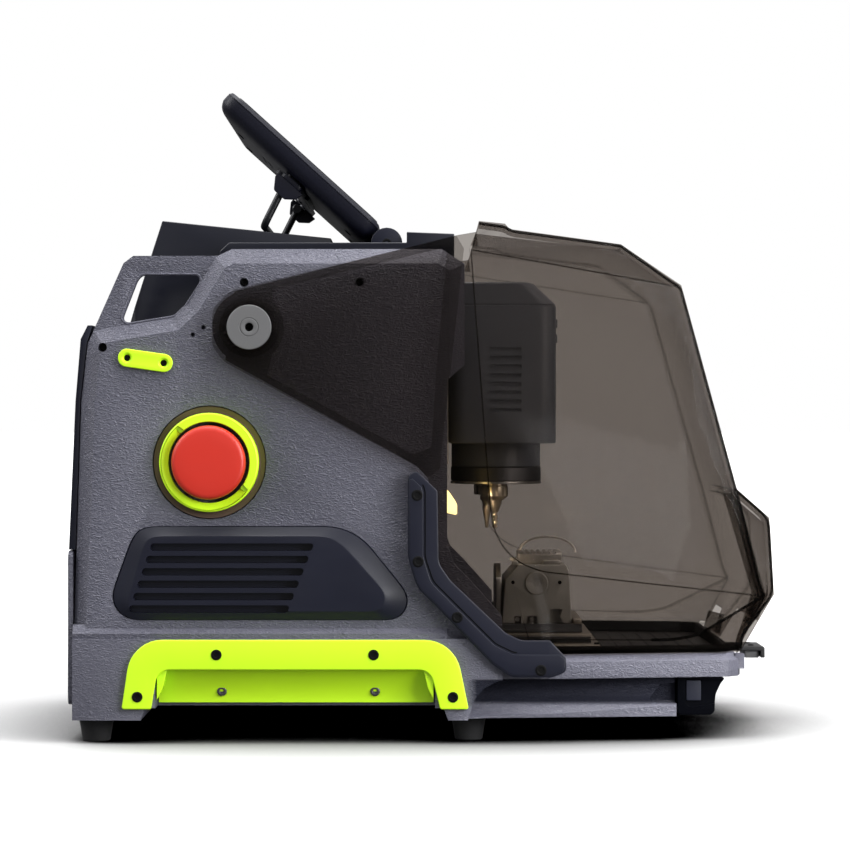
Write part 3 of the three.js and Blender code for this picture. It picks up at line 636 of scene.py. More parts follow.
def carve(obj, bm, sharp=35):
    """Cuts a closed shape out of a finished piece for good."""
    cutter = cutter_object(bm)
    cutter.hide_viewport = False
    mod = obj.modifiers.new("carve", "BOOLEAN")
    mod.object = cutter
    mod.solver = "EXACT"
    bpy.context.view_layer.update()
    me = bpy.data.meshes.new_from_object(obj.evaluated_get(bpy.context.evaluated_depsgraph_get()))
    obj.modifiers.remove(mod)
    obj.data = me
    me.set_sharp_from_angle(angle=math.radians(sharp))
    bpy.data.objects.remove(cutter)
    return obj


def drill(node, bm, before_rounding=False):
    """Holes in a carried-over CAD node, as a modifier."""
    mod = NODES[node].modifiers.new("holes", "BOOLEAN")
    mod.object = cutter_object(bm)
    mod.solver = "EXACT"
    if before_rounding:
        NODES[node].modifiers.move(len(NODES[node].modifiers) - 1, 0)


def rounded_rect(x0, x1, y0, y1, r, per=7):
    """A rectangle whose corners are arcs, always with the same number of points."""
    out = []
    for cx, cy, start in ((x1 - r, y1 - r, 0), (x0 + r, y1 - r, 90), (x0 + r, y0 + r, 180), (x1 - r, y0 + r, 270)):
        for k in range(per + 1):
            t = math.radians(start + 90 * k / per)
            out.append(Vector((cx + r * math.cos(t), cy + r * math.sin(t))))
    return out


def loft(rings, frame_matrix):
    """A closed skin over (outline, depth) rings that all have the same number of points."""
    bm = bmesh.new()
    made = [[bm.verts.new((p[0], p[1], d)) for p in outline] for outline, d in rings]
    n = len(made[0])
    for a, b in zip(made, made[1:]):
        for i in range(n):
            bm.faces.new((a[i], a[(i + 1) % n], b[(i + 1) % n], b[i]))
    bm.faces.new(made[0])
    bm.faces.new(made[-1])
    bmesh.ops.transform(bm, matrix=frame_matrix, verts=bm.verts)
    return bm


# ------------------------------------------------------------------ tablet

LEAN = math.radians(42.1)
ON_TABLET = Matrix((
    (-math.cos(LEAN), 0, math.sin(LEAN), -19.0),
    (0, 1, 0, 0),
    (math.sin(LEAN), 0, math.cos(LEAN), 271.8),
    (0, 0, 0, 1),
))  # u = up along the slab, v = Y, grows out of the screen


def tablet():
    u0, u1, half = 9.3, 120.5, 95.0
    sections = (
        (3.4, 3.4, 5.12), (1.7, 1.7, 5.05), (1.1, 1.1, 4.85), (0, 0, 3.2), (0, 0, 2.75), (0.35, 0.35, 2.7), (0.35, 0.35, 2.45),
        (0, 0, 2.4), (0, 0, -1.6), (0.8, 0.6, -3.4), (1.8, 1.6, -4.9), (3.2, 3.4, -6.1), (5.0, 7.0, -7.0), (7.5, 14.0, -7.5),
        (9.0, 30.0, -7.8), (11.0, 50.0, -7.9),
    )
    rings = [(rounded_rect(u0 + i * (0.45 if w < 0 else 1), u1 - i, -half + j, half - j, max(1.2, 9 - i * 0.5)), w) for i, j, w in sections]
    body = piece("tablet_shell", loft(rings, ON_TABLET), NAVY_SHELL, "tablet", 28)
    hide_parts("tablet_body")
    cuts = [slab([rounded_rect(84 + 5 * j, 87 + 5 * j, -22 + 7 * k, -17.5 + 7 * k, 1.4, 4)], -9.6, -7.0, ON_TABLET) for k in range(6) for j in range(2)]
    carve(body, merged(*cuts), 28)
    glass = loft(
        [(rounded_rect(12.3 + i, 114.7 - i, -91.2 + i, 91.2 - i, 6.5 - i), w) for i, w in ((0.3, 5.0), (0, 5.1), (0, 5.5), (0.25, 5.7), (0.8, 5.7))],
        ON_TABLET)
    screen = piece("tablet_glass_pane", glass, SCREEN, "tablet", 28)
    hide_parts("tablet_screen")
    bezel = slab([rounded_rect(17.4, 109.8, -85.9, 85.9, 1.2), rounded_rect(17.8, 109.4, -85.5, 85.5, 1.0)], 5.66, 5.72, ON_TABLET)
    piece("tablet_display_edge", bezel, BLACK, "tablet")
    neck = slab([fillet([(-20.9, 264.3, 1), (-35.9, 274.6, 2), (-27.6, 286.4, 2), (-15.2, 276.3, 3)], 1)], -27.9, 27.9, RIGHT, 0.5)
    barrel = turned([(0, -28), (7.9, -28), (8.6, -27.3), (8.6, 27.3), (7.9, 28), (0, 28)], (-19.0, 271.8), RIGHT, 56)
    piece("tablet_neck", merged(neck, barrel), NAVY, "tablet")
    screws = []
    for u in (24.0, 106.0):
        for y in (-38, 38):
            profile = [(0, -6.4), (2.5, -6.4), (2.5, -8.1), (2.1, -8.4), (1.2, -8.4), (1.15, -7.8), (0, -7.7)]
            screws.append(turned(profile, (u, y), ON_TABLET, 20, hexagonal(20, 4)))
    piece("tablet_back_screws", merged(*screws), SCREW, "tablet")
    caps = [screw_head(-19.0, 271.8, 2.6, 96.4, 0.5, m, 0.5) for m in (RIGHT, LEFT)]
    piece("hinge_axle_caps", merged(*caps), SCREW, "chassis")


def prop():
    """The wire bail that props the tablet, with formed eyes, and the clamp blocks it swings in."""
    px = -19.0 + 64.5 * -math.cos(LEAN) - 14 * math.sin(LEAN)
    pz = 271.8 + 64.5 * math.sin(LEAN) - 14 * math.cos(LEAN)
    lie = math.radians(63.3)
    fx, fz = px - 24.8 * math.cos(lie), pz - 24.8 * math.sin(lie)
    path = [(px, 80, pz), (fx * 0.75 + px * 0.25, 80, fz * 0.75 + pz * 0.25)]
    for k in range(1, 7):
        t = math.radians(15 * k)
        s = 5.0
        path.append((fx + (px - fx) * (s / 24.8) * (1 - math.sin(t)), 80 - s * (1 - math.cos(t)), fz + (pz - fz) * (s / 24.8) * (1 - math.sin(t))))
    other = [(x, -y, z) for x, y, z in reversed(path)]
    bail = tube([*path, *other], 2.1, 16)
    eyes = [turned([(0, d - 3.4), (2.5, d - 3.4), (3.2, d - 2.8), (3.2, d + 2.2), (2.5, d + 2.8), (0, d + 2.8)], (px, pz), RIGHT, 24) for d in (-80, 80)]
    pins = [turned([(0, a), (1.2, a), (1.2, b), (0, b)], (px, pz), RIGHT, 16) for a, b in ((-87.5, -78), (78, 87.5))]
    p = piece("prop_wire_bail", merged(bail, *eyes, *pins), WIRE, "prop")
    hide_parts("prop_bail")
    plate = slab([rounded_rect(55, 69, -88, 88, 3, 5)], -11.0, -8.4, ON_TABLET, 0.3)
    feet = [slab([rounded_rect(57, 67, y - 4, y + 4, 2, 4)], -9.0, -5.4, ON_TABLET, 0.3) for y in (-78, 78)]
    boss = slab([rounded_rect(53, 78, -40, 40, 4, 5)], -10.2, -6.2, ON_TABLET, 0.3)
    blocks = []
    for y0, y1 in ((-88.4, -83.8), (83.8, 88.4)):
        side = fillet([(53.0, -11.0, 0.4), (71.0, -11.0, 0.4), (71.0, -13.5, 1), (66.5, -19.6, 1.4), (59, -19.6, 1.4), (54.0, -15.4, 1)], 0.5)
        m = ON_TABLET @ Matrix(((1, 0, 0, 0), (0, 0, 1, 0), (0, 1, 0, 0), (0, 0, 0, 1)))
        blocks.append(slab([side], y0, y1, m, 0.35))
    bp = piece("prop_clamps", merged(plate, boss, *feet, *blocks), NAVY_SHELL, "tablet")
    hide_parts("prop_bracket")
    heads = [turned([(0, -10.8), (2.2, -10.8), (2.2, -11.6), (1.8, -11.9), (1.1, -11.9), (1.05, -11.4), (0, -11.3)], (62, y), ON_TABLET, 20, hexagonal(20, 4)) for y in (-70, -26, 26, 70)]
    piece("prop_plate_screws", merged(*heads), SCREW_GREY, "tablet")


# ------------------------------------------------------------------ side castings: screws, hinge, badge, stop

def side_screws():
    for side, m in SIDES:
        heads = []
        for x, z, r, y, h in (
            (-172.5, 214, 1.9, 113, 1.2), (-95.9, 249.2, 1.9, 114.6, 1.2), (-33.4, 249.4, 1.9, 114.6, 1.2),
            (-153, 25.5, 2.9, 124.4, 0.8), (-110.4, 48.2, 2.9, 124.4, 0.8),
            (-25.7, 48.2, 2.9, 124.4, 0.8), (17.1, 25.4, 2.9, 124.4, 0.8),
            (-2.2, 134.3, 3.0, 128.0, 0.5), (-1.6, 98.6, 3.0, 128.0, 0.5),
            (19.4, 68.7, 3.0, 128.0, 0.5), (64.3, 40.2, 3.0, 128.0, 0.5),
        ):
            heads.append(screw_head(x, z, r, y, h, m, 0.56))
        piece("socket_screws_" + side, merged(*heads), SCREW)
        bores = [turned([(0, 121), (r, 121), (r, d), (0, d)], (x, z), m, 28) for x, z, r, d in (
            (-172.5, 214, 2.5, 112.5), (-95.9, 249.2, 2.5, 114.5), (-33.4, 249.4, 2.5, 114.5),
            (-117.9, 224.8, 1.2, 113), (-123.6, 220.9, 1.2, 113))]
        drill("side_panel_" + side, merged(*bores))
        scoop = [screw_head(x, 27.4, 2.7, 111.2, 1.4, m, 0.5) for x in (-108.3, -25.1)]
        piece("scoop_screws_" + side, merged(*scoop), SCREW_GREY)


def badges():
    ends = ((-159.0, 208.3), (-139.3, 205.5))
    a, b = (Vector(e) for e in ends)
    across = Vector((-(b - a).y, (b - a).x)).normalized() * 4.9
    along = (b - a).normalized() * 4.9
    outline = fillet([a - along - across, b + along - across, b + along + across, a - along + across], 4.85)
    holes = [circle(x, z, 2.5, 28) for x, z in ends]
    for side, m in SIDES:
        plate = slab([outline, *holes], 118, 120.2, m, 0.55)
        cones = [
            closed_ring([(2.56, 120.0), (2.56, 118.2), (1.7, 118.2), (1.7, 118.6), (2.4, 119.9)], e, m, 28) for e in ends
        ]
        p = piece("badge_plate_" + side, merged(plate, *cones), LIME)
        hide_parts("badge_" + side)
        cores = [screw_head(x, z, 1.95, 118.1, 0.6, m, 0.62, 18) for x, z in ends]
        piece("badge_screws_" + side, merged(*cores), SCREW)


ARM_END = [(-3, 150, 3), (-106.5, 206.2, 12), (-112.6, 214.5, 9), (-112.6, 234.5, 9), (-102.5, 244.6, 12)]


def cover_arms():
    """The raised band that runs round each hinge arm, the round hub and its washer."""
    px, pz = -92.6, 224.6
    for side, m in SIDES:
        outer = fillet([*ARM_END, (19, 273.9, 0.5), (23, 267, 0.5), (10, 148.5, 0.5), (4.0, 143.4, 2)], 1)
        arc = [Vector((px + 18.8 * math.cos(t), pz + 18.8 * math.sin(t))) for t in (math.radians(-46 + 6 * k) for k in range(17))]
        inner = fillet([(-4.5, 156.2, 3), (-82.9, 198.9, 1.5), (-80.2, 210.5, 0.5), *[tuple(v) for v in arc],
                        (-79.6, 240.4, 0.5), (-80.4, 245.2, 1.5), (14, 267.9, 2.5), (8, 200, 1), (5.5, 160, 3)], 0)
        band = slab([outer, inner], 123.9, 124.5, m, 0.2, 2)
        p = piece("cover_arm_band_" + side, band, SMOKE_BORDER, "cover")
        hub = closed_ring(
            [(12.4, 124.4), (16.2, 124.4), (15.9, 125.4), (15.0, 126.2), (14.2, 126.4), (13.6, 126.2), (13.1, 125.5), (12.4, 125.3)],
            (px, pz), m, 72)
        piece("cover_hub_lip_" + side, hub, SMOKE_BORDER, "cover")
        washer = turned(
            [(0.0, 123.7), (3.0, 123.7), (3.0, 126.9), (12.0, 126.9), (12.0, 127.7), (11.7, 128.0), (5.3, 128.0), (5.05, 127.75), (4.75, 127.75), (4.5, 128.1),
             (3.0, 128.15), (2.5, 128.0), (2.3, 127.6), (2.3, 124.0), (0.0, 124.0)], (px, pz), m, 72)
        wp = piece("hinge_washer_" + side, washer, WASHER)
        core = turned([(0.0, 118.5), (6.0, 118.5), (6.0, 126.8), (3.1, 126.8), (3.1, 123.4), (0.0, 123.4)], (px, pz), m, 40)
        piece("hinge_pin_" + side, core, STEEL)
        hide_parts("pivot_pin_" + side)
        # The socket's bottom drawn near-black: painted shade.
        dot = turned([(0.0, 124.1), (2.28, 124.1), (2.28, 124.4), (0.0, 124.4)], (px, pz), m, 24)
        piece("hinge_socket_" + side, dot, PAINTED_SHADE_BLACK)


def emergency_stop():
    c = (-114.6, 151.8)
    ring = closed_ring([(26.9, 113.2), (30.5, 113.2), (30.5, 116.4), (30.2, 116.9), (27.6, 116.2), (27.2, 116.6), (26.9, 116.6)], c, RIGHT, 96)
    p = piece("estop_bronze_ring", ring, BRONZE)
    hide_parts("estop_recess_ring")

    def lip(t, k):
        turn = (math.degrees(t) + 360) % 360
        raised = turn < 128 or turn > 327
        return 1.0 if raised or k not in (5, 6) else (25.6 / 21.9 if k == 6 else 26.0 / 22.3)

    collar = closed_ring(
        [(26.75, 113.5), (26.75, 122.6), (26.4, 123.1), (25.9, 123.3), (25.6, 123.3), (22.3, 123.3), (21.9, 122.8),
         (21.9, 121.2), (22.1, 120.6), (22.1, 113.5)], c, RIGHT, 144, lip)
    p = piece("estop_collar_ring", collar, LIME)
    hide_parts("estop_collar")
    tabs = []
    for turn in (130, -35):
        t = math.radians(turn)
        u, v = Vector((math.cos(t), math.sin(t))), Vector((-math.sin(t), math.cos(t)))
        o = Vector(c) + u * 23.8
        tabs.append(slab([fillet([o - u * 2.1 - v * 1.9, o + u * 2.1 - v * 1.9, o + u * 2.1 + v * 1.9, o - u * 2.1 + v * 1.9], 0.8)], 119, 122.6, RIGHT, 0.3))
    piece("estop_collar_tabs", merged(*tabs), LIME_DARK)
    button = turned(
        [(0, 112), (9.5, 112), (9.5, 119.8), (15, 120), (19.2, 120.3), (19.9, 121.0), (20.0, 122.5), (20.0, 125.2),
         (19.75, 126.4), (19.1, 127.3), (18.2, 127.85), (17.0, 128.05), (12, 128.2), (6, 128.28), (0, 128.3)], c, RIGHT, 96)
    p = piece("estop_mushroom", button, RED, "stop_button", 50)
    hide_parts("estop_button")


LIME_DARK = satin("lime_plastic_shaded", srgb(150, 200, 10), rough=0.5, var=0.02)


# ------------------------------------------------------------------ side castings: rail, trim, handle

RAIL_OUTER = [
    (-7.3, 144.5, 4), (-7.3, 101, 20), (-2.5, 84.5, 20), (8, 74.5, 12), (38, 43.5, 10), (48, 36.4, 10), (70, 36.2, 6),
    (78.2, 39.0, 4), (77.7, 47.2, 2.5), (69.1, 56.1, 1.6), (53.5, 56.1, 10), (45, 60.4, 8), (15.7, 88.3, 10), (9.3, 97.5, 10),
    (8.7, 136.5, 1.6), (-2.6, 147.6, 2.5),
]
RAIL_LINE = [
    (-6.9, 145.2, 0), (1.2, 139.6, 1.5), (2.1, 136, 2), (2.1, 101, 14), (6.5, 88, 10), (40, 54.5, 10), (50, 49.7, 6), (74.6, 49.6, 0),
]


def guard_rails():
    for side, m in SIDES:
        outline = fillet(RAIL_OUTER, 1)
        inner = fillet(RAIL_LINE, 1, closed=False)
        plate = slab([outline], 124.4, 127.5, m, 0.55)
        skirt_edge = [*inner, Vector((77.6, 46.5)), Vector((78.0, 41)), Vector((74, 37.4)), Vector((48.5, 36.8)),
                      Vector((38.4, 44)), Vector((8.4, 75)), Vector((-2.0, 85.2)), Vector((-6.9, 101))]
        skirt = slab([skirt_edge], 118.2, 124.5, m, 0.2, 1)
        band = slab([offset_strip(inner, -0.1, 8.6, RAIL_OUTER)], 127.3, 127.9, m, 0.25)
        p = piece("guard_rail_plate_" + side, merged(plate, skirt, band), NAVY)
        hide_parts("guard_rail_" + side)
        # A near-black line along the rail's groove: painted shade.
        groove = tube([m @ Vector((v.x, v.y, 127.55)) for v in inner[1:-1]], 0.32, 6)
        piece("guard_rail_groove_" + side, groove, PAINTED_SHADE_BLACK)


def offset_strip(line, gap, width, outline):
    """The part of the rail outside its groove: the groove line, then back along the outer edge."""
    outer = [(76.8, 46.2), (76.6, 41.5), (72.5, 37.6), (50.2, 37.5), (40.6, 43), (9.6, 74.6), (-0.4, 84.6), (-5, 94), (-6.3, 103), (-6.3, 143.4)]
    along = fillet([(-4.8, 143.2, 0.5), (0.1, 138.6, 1), (1.0, 135.4, 2), (1.0, 101, 13), (5.4, 87.2, 9), (39.2, 53.6, 9), (49.4, 48.6, 6), (74.4, 48.5, 0.5)], 1, closed=False)
    return [*along, *fillet([(77.2, 45.8, 1), (76.8, 40, 2.5), (70, 37.2, 4), (48.6, 37.4, 9), (38.6, 44.4, 9), (8.6, 75.2, 11), (-1.8, 85, 18), (-6.3, 101, 18), (-6.3, 142.4, 1)], 1, closed=False)]


TRIM = [
    (-161.5, 18.8, 1.2), (-156.0, 56.2, 19), (17.8, 56.2, 20), (25.6, 18.8, 1.2), (10.2, 18.8, 1.4), (4.9, 40.1, 8),
    (-142.2, 40.1, 8), (-145.6, 18.8, 1.2),
]


def grip_trims():
    for side, m in SIDES:
        arch = slab([fillet(TRIM, 1)], 121.9, 124.6, m, 0.7)
        sign = -1 if side == "right" else 1
        bm = bmesh.new()
        rows = []
        for k in range(15):
            t = k / 14
            depth = 122.3 - 11.4 * math.sin(t * math.pi / 2) ** 0.8
            z = 40.1 - 18.8 * t ** 1.15
            rows.append((depth, z))
        under = [(107.3, 21.3), (107.3, 40.1)]
        loop = [*rows, *under]
        for x in (-142.6, 6.6):
            loop_v = [bm.verts.new((x, sign * d, z)) for d, z in loop]
            bm.faces.new(loop_v)
        bm.verts.ensure_lookup_table()
        n = len(loop)
        for i in range(n):
            j = (i + 1) % n
            bm.faces.new((bm.verts[i], bm.verts[j], bm.verts[n + j], bm.verts[n + i]))
        p = piece("grip_trim_plate_" + side, merged(arch, bm), LIME)
        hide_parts("grip_trim_" + side)
        grille = []
        for x in (-142.6, 6.6):
            d = 5.5 if x < 0 else -5.5
            web = [(x, 40.0), (x + d, 40.0), (x + d * 0.55, 30.0), (x, 24.0)]
            grille.append(slab([[Vector(v) for v in web]], 113.5, 122.5, m, 0.3))
        piece("grip_webs_" + side, merged(*grille), LIME)


VENT_OUTER = [(-160, 66.5), (-168.4, 77.5), (-156, 112), (-149.7, 117.2), (-45, 117.2), (-31.3, 110.6), (-5.8, 78.9), (-11.3, 66.5)]
VENT_FACE = [(-156.7, 71.3), (-158.7, 76), (-149.7, 107.8), (-145.6, 112.0), (-50.5, 112.0), (-42.3, 107.4), (-18.2, 80.3), (-21.7, 71.3)]


def soft_loop(points, reach, per=6):
    """A closed outline whose corners are eased over the given length, with per + 1 points each."""
    p = [Vector(q) for q in points]
    out = []
    for i, b in enumerate(p):
        a, c = p[i - 1], p[(i + 1) % len(p)]
        start = b + (a - b).normalized() * min(reach, 0.48 * (b - a).length)
        end = b + (c - b).normalized() * min(reach, 0.48 * (c - b).length)
        for k in range(per + 1):
            t = k / per
            out.append(start * (1 - t) ** 2 + b * 2 * t * (1 - t) + end * t ** 2)
    return out


def vent_grilles():
    """The moulded air grille on each side: broad sloping border, flat face, six raked slots, and its rounded seat."""
    outline, face = soft_loop(VENT_OUTER, 9), soft_loop(VENT_FACE, 7)
    middle = Vector((-87.0, 92.0))
    nearer = lambda loop, by: [v + (middle - v).normalized() * by for v in loop]
    for side, m in SIDES:
        skin = loft([(outline, 112.5), (outline, 117.5), (nearer(outline, 0.5), 118.4), (nearer(face, -0.6), 120.9), (face, 121.15), (nearer(face, 0.8), 121.2)], m)
        grille = piece("vent_moulding_" + side, skin, NAVY, sharp=24)
        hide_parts("vent_grille_" + side)
        slots = []
        for i in range(6):
            top = 108.1 - 6.68 * i
            left, right = -145.6 - 2.3 * i, -57.7 - 2.6 * i
            slots.append(slab([fillet([(left, top), (right, top), (right - 1.6, top - 4), (left - 1.4, top - 4)], 1.9)], 114.2, 125, m))
        carve(grille, merged(*slots), 24)
        square = [(x + 1.0 * (1 if x > -87 else -1), z + 1.0 * (1 if z > 92 else -1)) for x, z in VENT_OUTER]
        seat = slab([square, nearer(outline, -0.35)], 112.3, 117.97, m)
        piece("vent_seat_" + side, seat, GREY)


def handle_rims():
    """The bright rolled edge round each carrying handle's opening."""
    hole = fillet([(-152.2, 254.2, 3.4), (-121.0, 254.2, 2.6), (-119.4, 250.6, 2.6), (-130.2, 233.9, 3.5), (-134.9, 231.1, 4),
                   (-160.3, 227.0, 2.2), (-163.5, 229.8, 2.2), (-155.2, 251.4, 3)], 2)
    for side, m in SIDES:
        sign = -1 if side == "right" else 1
        ring = tube([(v.x, sign * 109.95, v.y) for v in hole], 0.55, 8, closed=True)
        piece("handle_rim_" + side, ring, GREY_FINE)


# A lighter copy of the casting grey, a painted highlight meant for the handle rims; nothing uses it.
LIT_RIM_GREY = satin("rolled_edge_painted_highlight_grey", srgb(150, 150, 160), rough=0.34, metal=0.3)


# ------------------------------------------------------------------ cutting head

def twisted(x, y, r, z0, z1, turns, tip, lobes=2, depth=0.42):
    """A fluted bit: a lobed section that turns as it climbs from its tip."""
    rings, steps = 40, 24
    bm = bmesh.new()
    made = []
    for k in range(rings + 1):
        t = k / rings
        z = z0 + (z1 - z0) * t
        size = min(1.0, 0.05 + (z - z0) / tip) if z - z0 < tip else 1.0
        phase = turns * 2 * math.pi * t
        made.append([
            bm.verts.new((
                x + size * r * (1 - depth * (0.5 + 0.5 * math.cos(lobes * (a - phase)))) * math.cos(a),
                y + size * r * (1 - depth * (0.5 + 0.5 * math.cos(lobes * (a - phase)))) * math.sin(a), z))
            for a in (2 * math.pi * i / steps for i in range(steps))
        ])
    for a, b in zip(made, made[1:]):
        for i in range(steps):
            bm.faces.new((a[i], a[(i + 1) % steps], b[(i + 1) % steps], b[i]))
    bm.faces.new(made[0])
    bm.faces.new(made[-1])
    return bm


def head_housing():
    x0 = 15.4

    def ring(x1, inset, r):
        return rounded_rect(x0 + inset, x1 - inset, -45 + inset, 45 - inset, r, 8)

    cap = [(ring(76.8, 1.0, 9), 161.5), (ring(76.8, 0.2, 10), 162.0), (ring(76.8, 0, 10), 162.8), (ring(76.8, 0, 10), 239.6),
           (ring(76.8, 0.5, 9.6), 240.0), (ring(76.6, 0.5, 9.6), 240.5), (ring(76.5, 0, 10), 240.9),
           (ring(64.2, 0.1, 10), 252.4), (ring(63.0, 0.6, 9.5), 253.0), (ring(62.4, 1.4, 9), 253.3)]
    body = piece("head_shell", loft(cap, UP), HEAD_GREY_PAINTED_SHEEN, "head", 30)
    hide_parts("spindle_housing")
    cuts = []
    for k in range(8):
        z = 216.4 - 4.95 * k
        for m in (RIGHT, LEFT):
            cuts.append(slab([rounded_rect(38.5, 57.0, z - 2.5, z, 1.2, 5)], 42.5, 46, m))
    for z in (182, 196, 210, 224):
        for y in (-20, -8, 4):
            cuts.append(slab([rounded_rect(y, y + 8, z, z + 2.4, 1.1, 4)], 74.5, 78, FRONT))
    cuts.append(slab([rounded_rect(-5, 5, 150, 270, 1)], -10, -14, FRONT))
    cuts.append(turned([(0, 90), (4.4, 90), (4.4, 270), (0, 270)], (9.7, 0), UP, 24))
    carve(body, merged(*cuts), 30)
    ribs = []
    for z in (219, 227.5):
        ribs.append(slab([rounded_rect(-34, -28, z, z + 5, 0.8, 4)], 76.2, 77.8, FRONT, 0.3))
    piece("head_front_clips", merged(*ribs), HEAD_GREY_PAINTED_SHEEN, "head")


def head_flange():
    upper = turned([(0, 148), (25.6, 148), (25.9, 148.4), (25.9, 162.3), (25.6, 162.6), (0, 162.6)], (43.4, 0), UP, 72)
    skirt = turned([(0, 139.4), (25.4, 139.4), (26.3, 140.0), (26.3, 147.4), (25.9, 147.9), (0, 147.9)], (43.4, 0), UP, 72)
    carve_seat = [turned([(0, 133), (r, 133), (r, 147.5), (0, 147.5)], c, UP, 48) for r, c in ((8.5, CUTTER_AT), (4.5, PROBE_AT))]
    p = piece("head_flange_ring", skirt, DARK_STEEL, "head")
    carve(p, merged(*carve_seat), 35)
    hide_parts("spindle_flange")
    piece("head_flange_collar", upper, HEAD_GREY_PAINTED_SHEEN, "head")
    rim = closed_ring([(25.8, 137.9), (26.4, 138.0), (26.5, 138.4), (26.5, 139.3), (24.0, 139.3), (24.0, 138.2)], (43.4, 0), UP, 72)
    piece("head_flange_edge", rim, STEEL, "head")
    probe_seat = closed_ring([(4.2, 131), (7.2, 131), (7.6, 131.4), (7.6, 139.3), (4.2, 139.3)], PROBE_AT, UP, 40)
    piece("probe_seat", probe_seat, TURNED, "head")
    bolts = []
    for k in range(8):
        t = math.radians(22.5 + 45 * k)
        bolts.append(turned([(0, 139.8), (2.0, 139.8), (2.0, 138.6), (1.6, 138.2), (0.9, 138.2), (0.85, 138.8), (0, 138.9)],
                            (43.4 + 20.6 * math.cos(t), 20.6 * math.sin(t)), UP, 18, hexagonal(18, 4)))
    piece("head_flange_bolts", merged(*bolts), SCREW_GREY, "head")


CUTTER_AT = (42.4, -13)
PROBE_AT = (38.4, 13)


def tools():
    nut = turned(
        [(0, 128.6), (5.0, 128.6), (5.6, 129.2), (7.7, 130.8), (7.9, 131.4), (7.9, 136.4), (7.3, 137.0), (7.3, 138.4), (7.9, 139.0), (7.9, 145.6), (0, 145.6)],
        CUTTER_AT, UP, 64, lambda t, k: 0.94 if k in (4, 5) and math.cos(8 * t) > 0.55 else 1.0)
    shank = turned([(0, 121.5), (1.9, 121.5), (2.4, 122.4), (3.2, 124.4), (4.2, 127.2), (4.4, 129.4), (0, 129.4)], CUTTER_AT, UP, 32)
    bit = twisted(*CUTTER_AT, 1.9, 111.5, 122.4, 1.8, 2.0)
    p = piece("cutter_collet_and_bit", merged(nut, shank, bit), LAMP_LIT_STEEL, "cutter", 40)
    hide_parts("cutter_spindle")
    sleeve = turned([(0, 127.5), (3.4, 127.5), (3.9, 128.1), (3.9, 142.0), (0, 142.0)], PROBE_AT, UP, 32)
    probe = turned(
        [(0, 111.5), (0.8, 111.6), (1.1, 113.5), (1.4, 116.5), (1.9, 118.8), (2.3, 121), (2.6, 124), (2.2, 124.4), (2.2, 125.4), (2.6, 125.8), (2.9, 128), (0, 128)],
        PROBE_AT, UP, 32)
    p = piece("tracer_sleeve_and_tip", merged(sleeve, probe), LAMP_LIT_STEEL, "tracer", 40)
    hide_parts("tracer_probe")


def lead_screw():
    """Rolled thread on the head's lifting screw, with plain journals."""
    x, y, r = 9.7, 0.0, 3.45
    bm = bmesh.new()
    steps, pitch, z0, z1 = 20, 3.0, 106.0, 250.0
    rows = int((z1 - z0) / pitch * 6)
    made = []
    for k in range(rows + 1):
        z = z0 + (z1 - z0) * k / rows
        ring = []
        for i in range(steps):
            a = 2 * math.pi * i / steps
            wave = 0.5 + 0.5 * math.cos(2 * math.pi * (z / pitch) - a)
            ring.append(bm.verts.new((x + (r - 0.9 * wave) * math.cos(a), y + (r - 0.9 * wave) * math.sin(a), z)))
        made.append(ring)
    for a, b in zip(made, made[1:]):
        for i in range(steps):
            bm.faces.new((a[i], a[(i + 1) % steps], b[(i + 1) % steps], b[i]))
    bm.faces.new(made[0])
    bm.faces.new(made[-1])
    ends = [turned([(0, a), (3.0, a), (3.3, a + 0.5), (3.3, b - 0.5), (3.0, b), (0, b)], (x, y), UP, 24) for a, b in ((100.2, 106.2), (249.8, 253.8))]
    p = piece("lead_screw_thread", merged(bm, *ends), TURNED, "lead_screw", 60)
    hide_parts("z_leadscrew")


def head_slides():
    """Guide blocks on the two vertical rails, and rail screws."""
    holes = []
    for y in (-26, 26):
        for k in range(5):
            holes.append(turned([(0, 9.3), (1.9, 9.3), (1.9, 9.6), (1.6, 9.7), (1.0, 9.7), (0.95, 9.5), (0, 9.45)], (y, 118 + 32 * k), FRONT, 18))
    piece("head_rail_screws", merged(*holes), SCREW, "chassis")
    blocks = [slab([rounded_rect(y - 9, y + 9, z, z + 24, 1.5, 4)], 9.8, 12.6, FRONT, 0.4) for y in (-26, 26) for z in (153, 219)]
    piece("head_guide_blocks", merged(*blocks), STEEL, "head")


def work_lamp():
    lens = loft([(rounded_rect(-76.6, -59.4, 124.4, 139.6, 3), 9.0), (rounded_rect(-76.6, -59.4, 123.6, 138.6, 3), 12), (rounded_rect(-75.6, -60.4, 122.6, 133.8, 3), 16),
                 (rounded_rect(-73.6, -62.4, 121.9, 129.4, 2.6), 19.0), (rounded_rect(-71.5, -64.5, 122.4, 127.4, 2.2), 19.9)], FRONT)
    p = piece("lamp_lens", lens, LAMP, sharp=40)
    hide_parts("work_lamp")
    seat = slab([rounded_rect(-78, -58, 122, 142, 3)], 5.5, 9.4, FRONT, 0.6)
    piece("lamp_seat", seat, BLACK)


# Tool steel tinted warm: the chamber lamp's light is painted into its colour.
LAMP_LIT_STEEL = machined("lit_tool_steel", (0.70, 0.60, 0.46), 0.28, (60.0, 60.0, 1.0), 60)


# ------------------------------------------------------------------ key vise and cross table

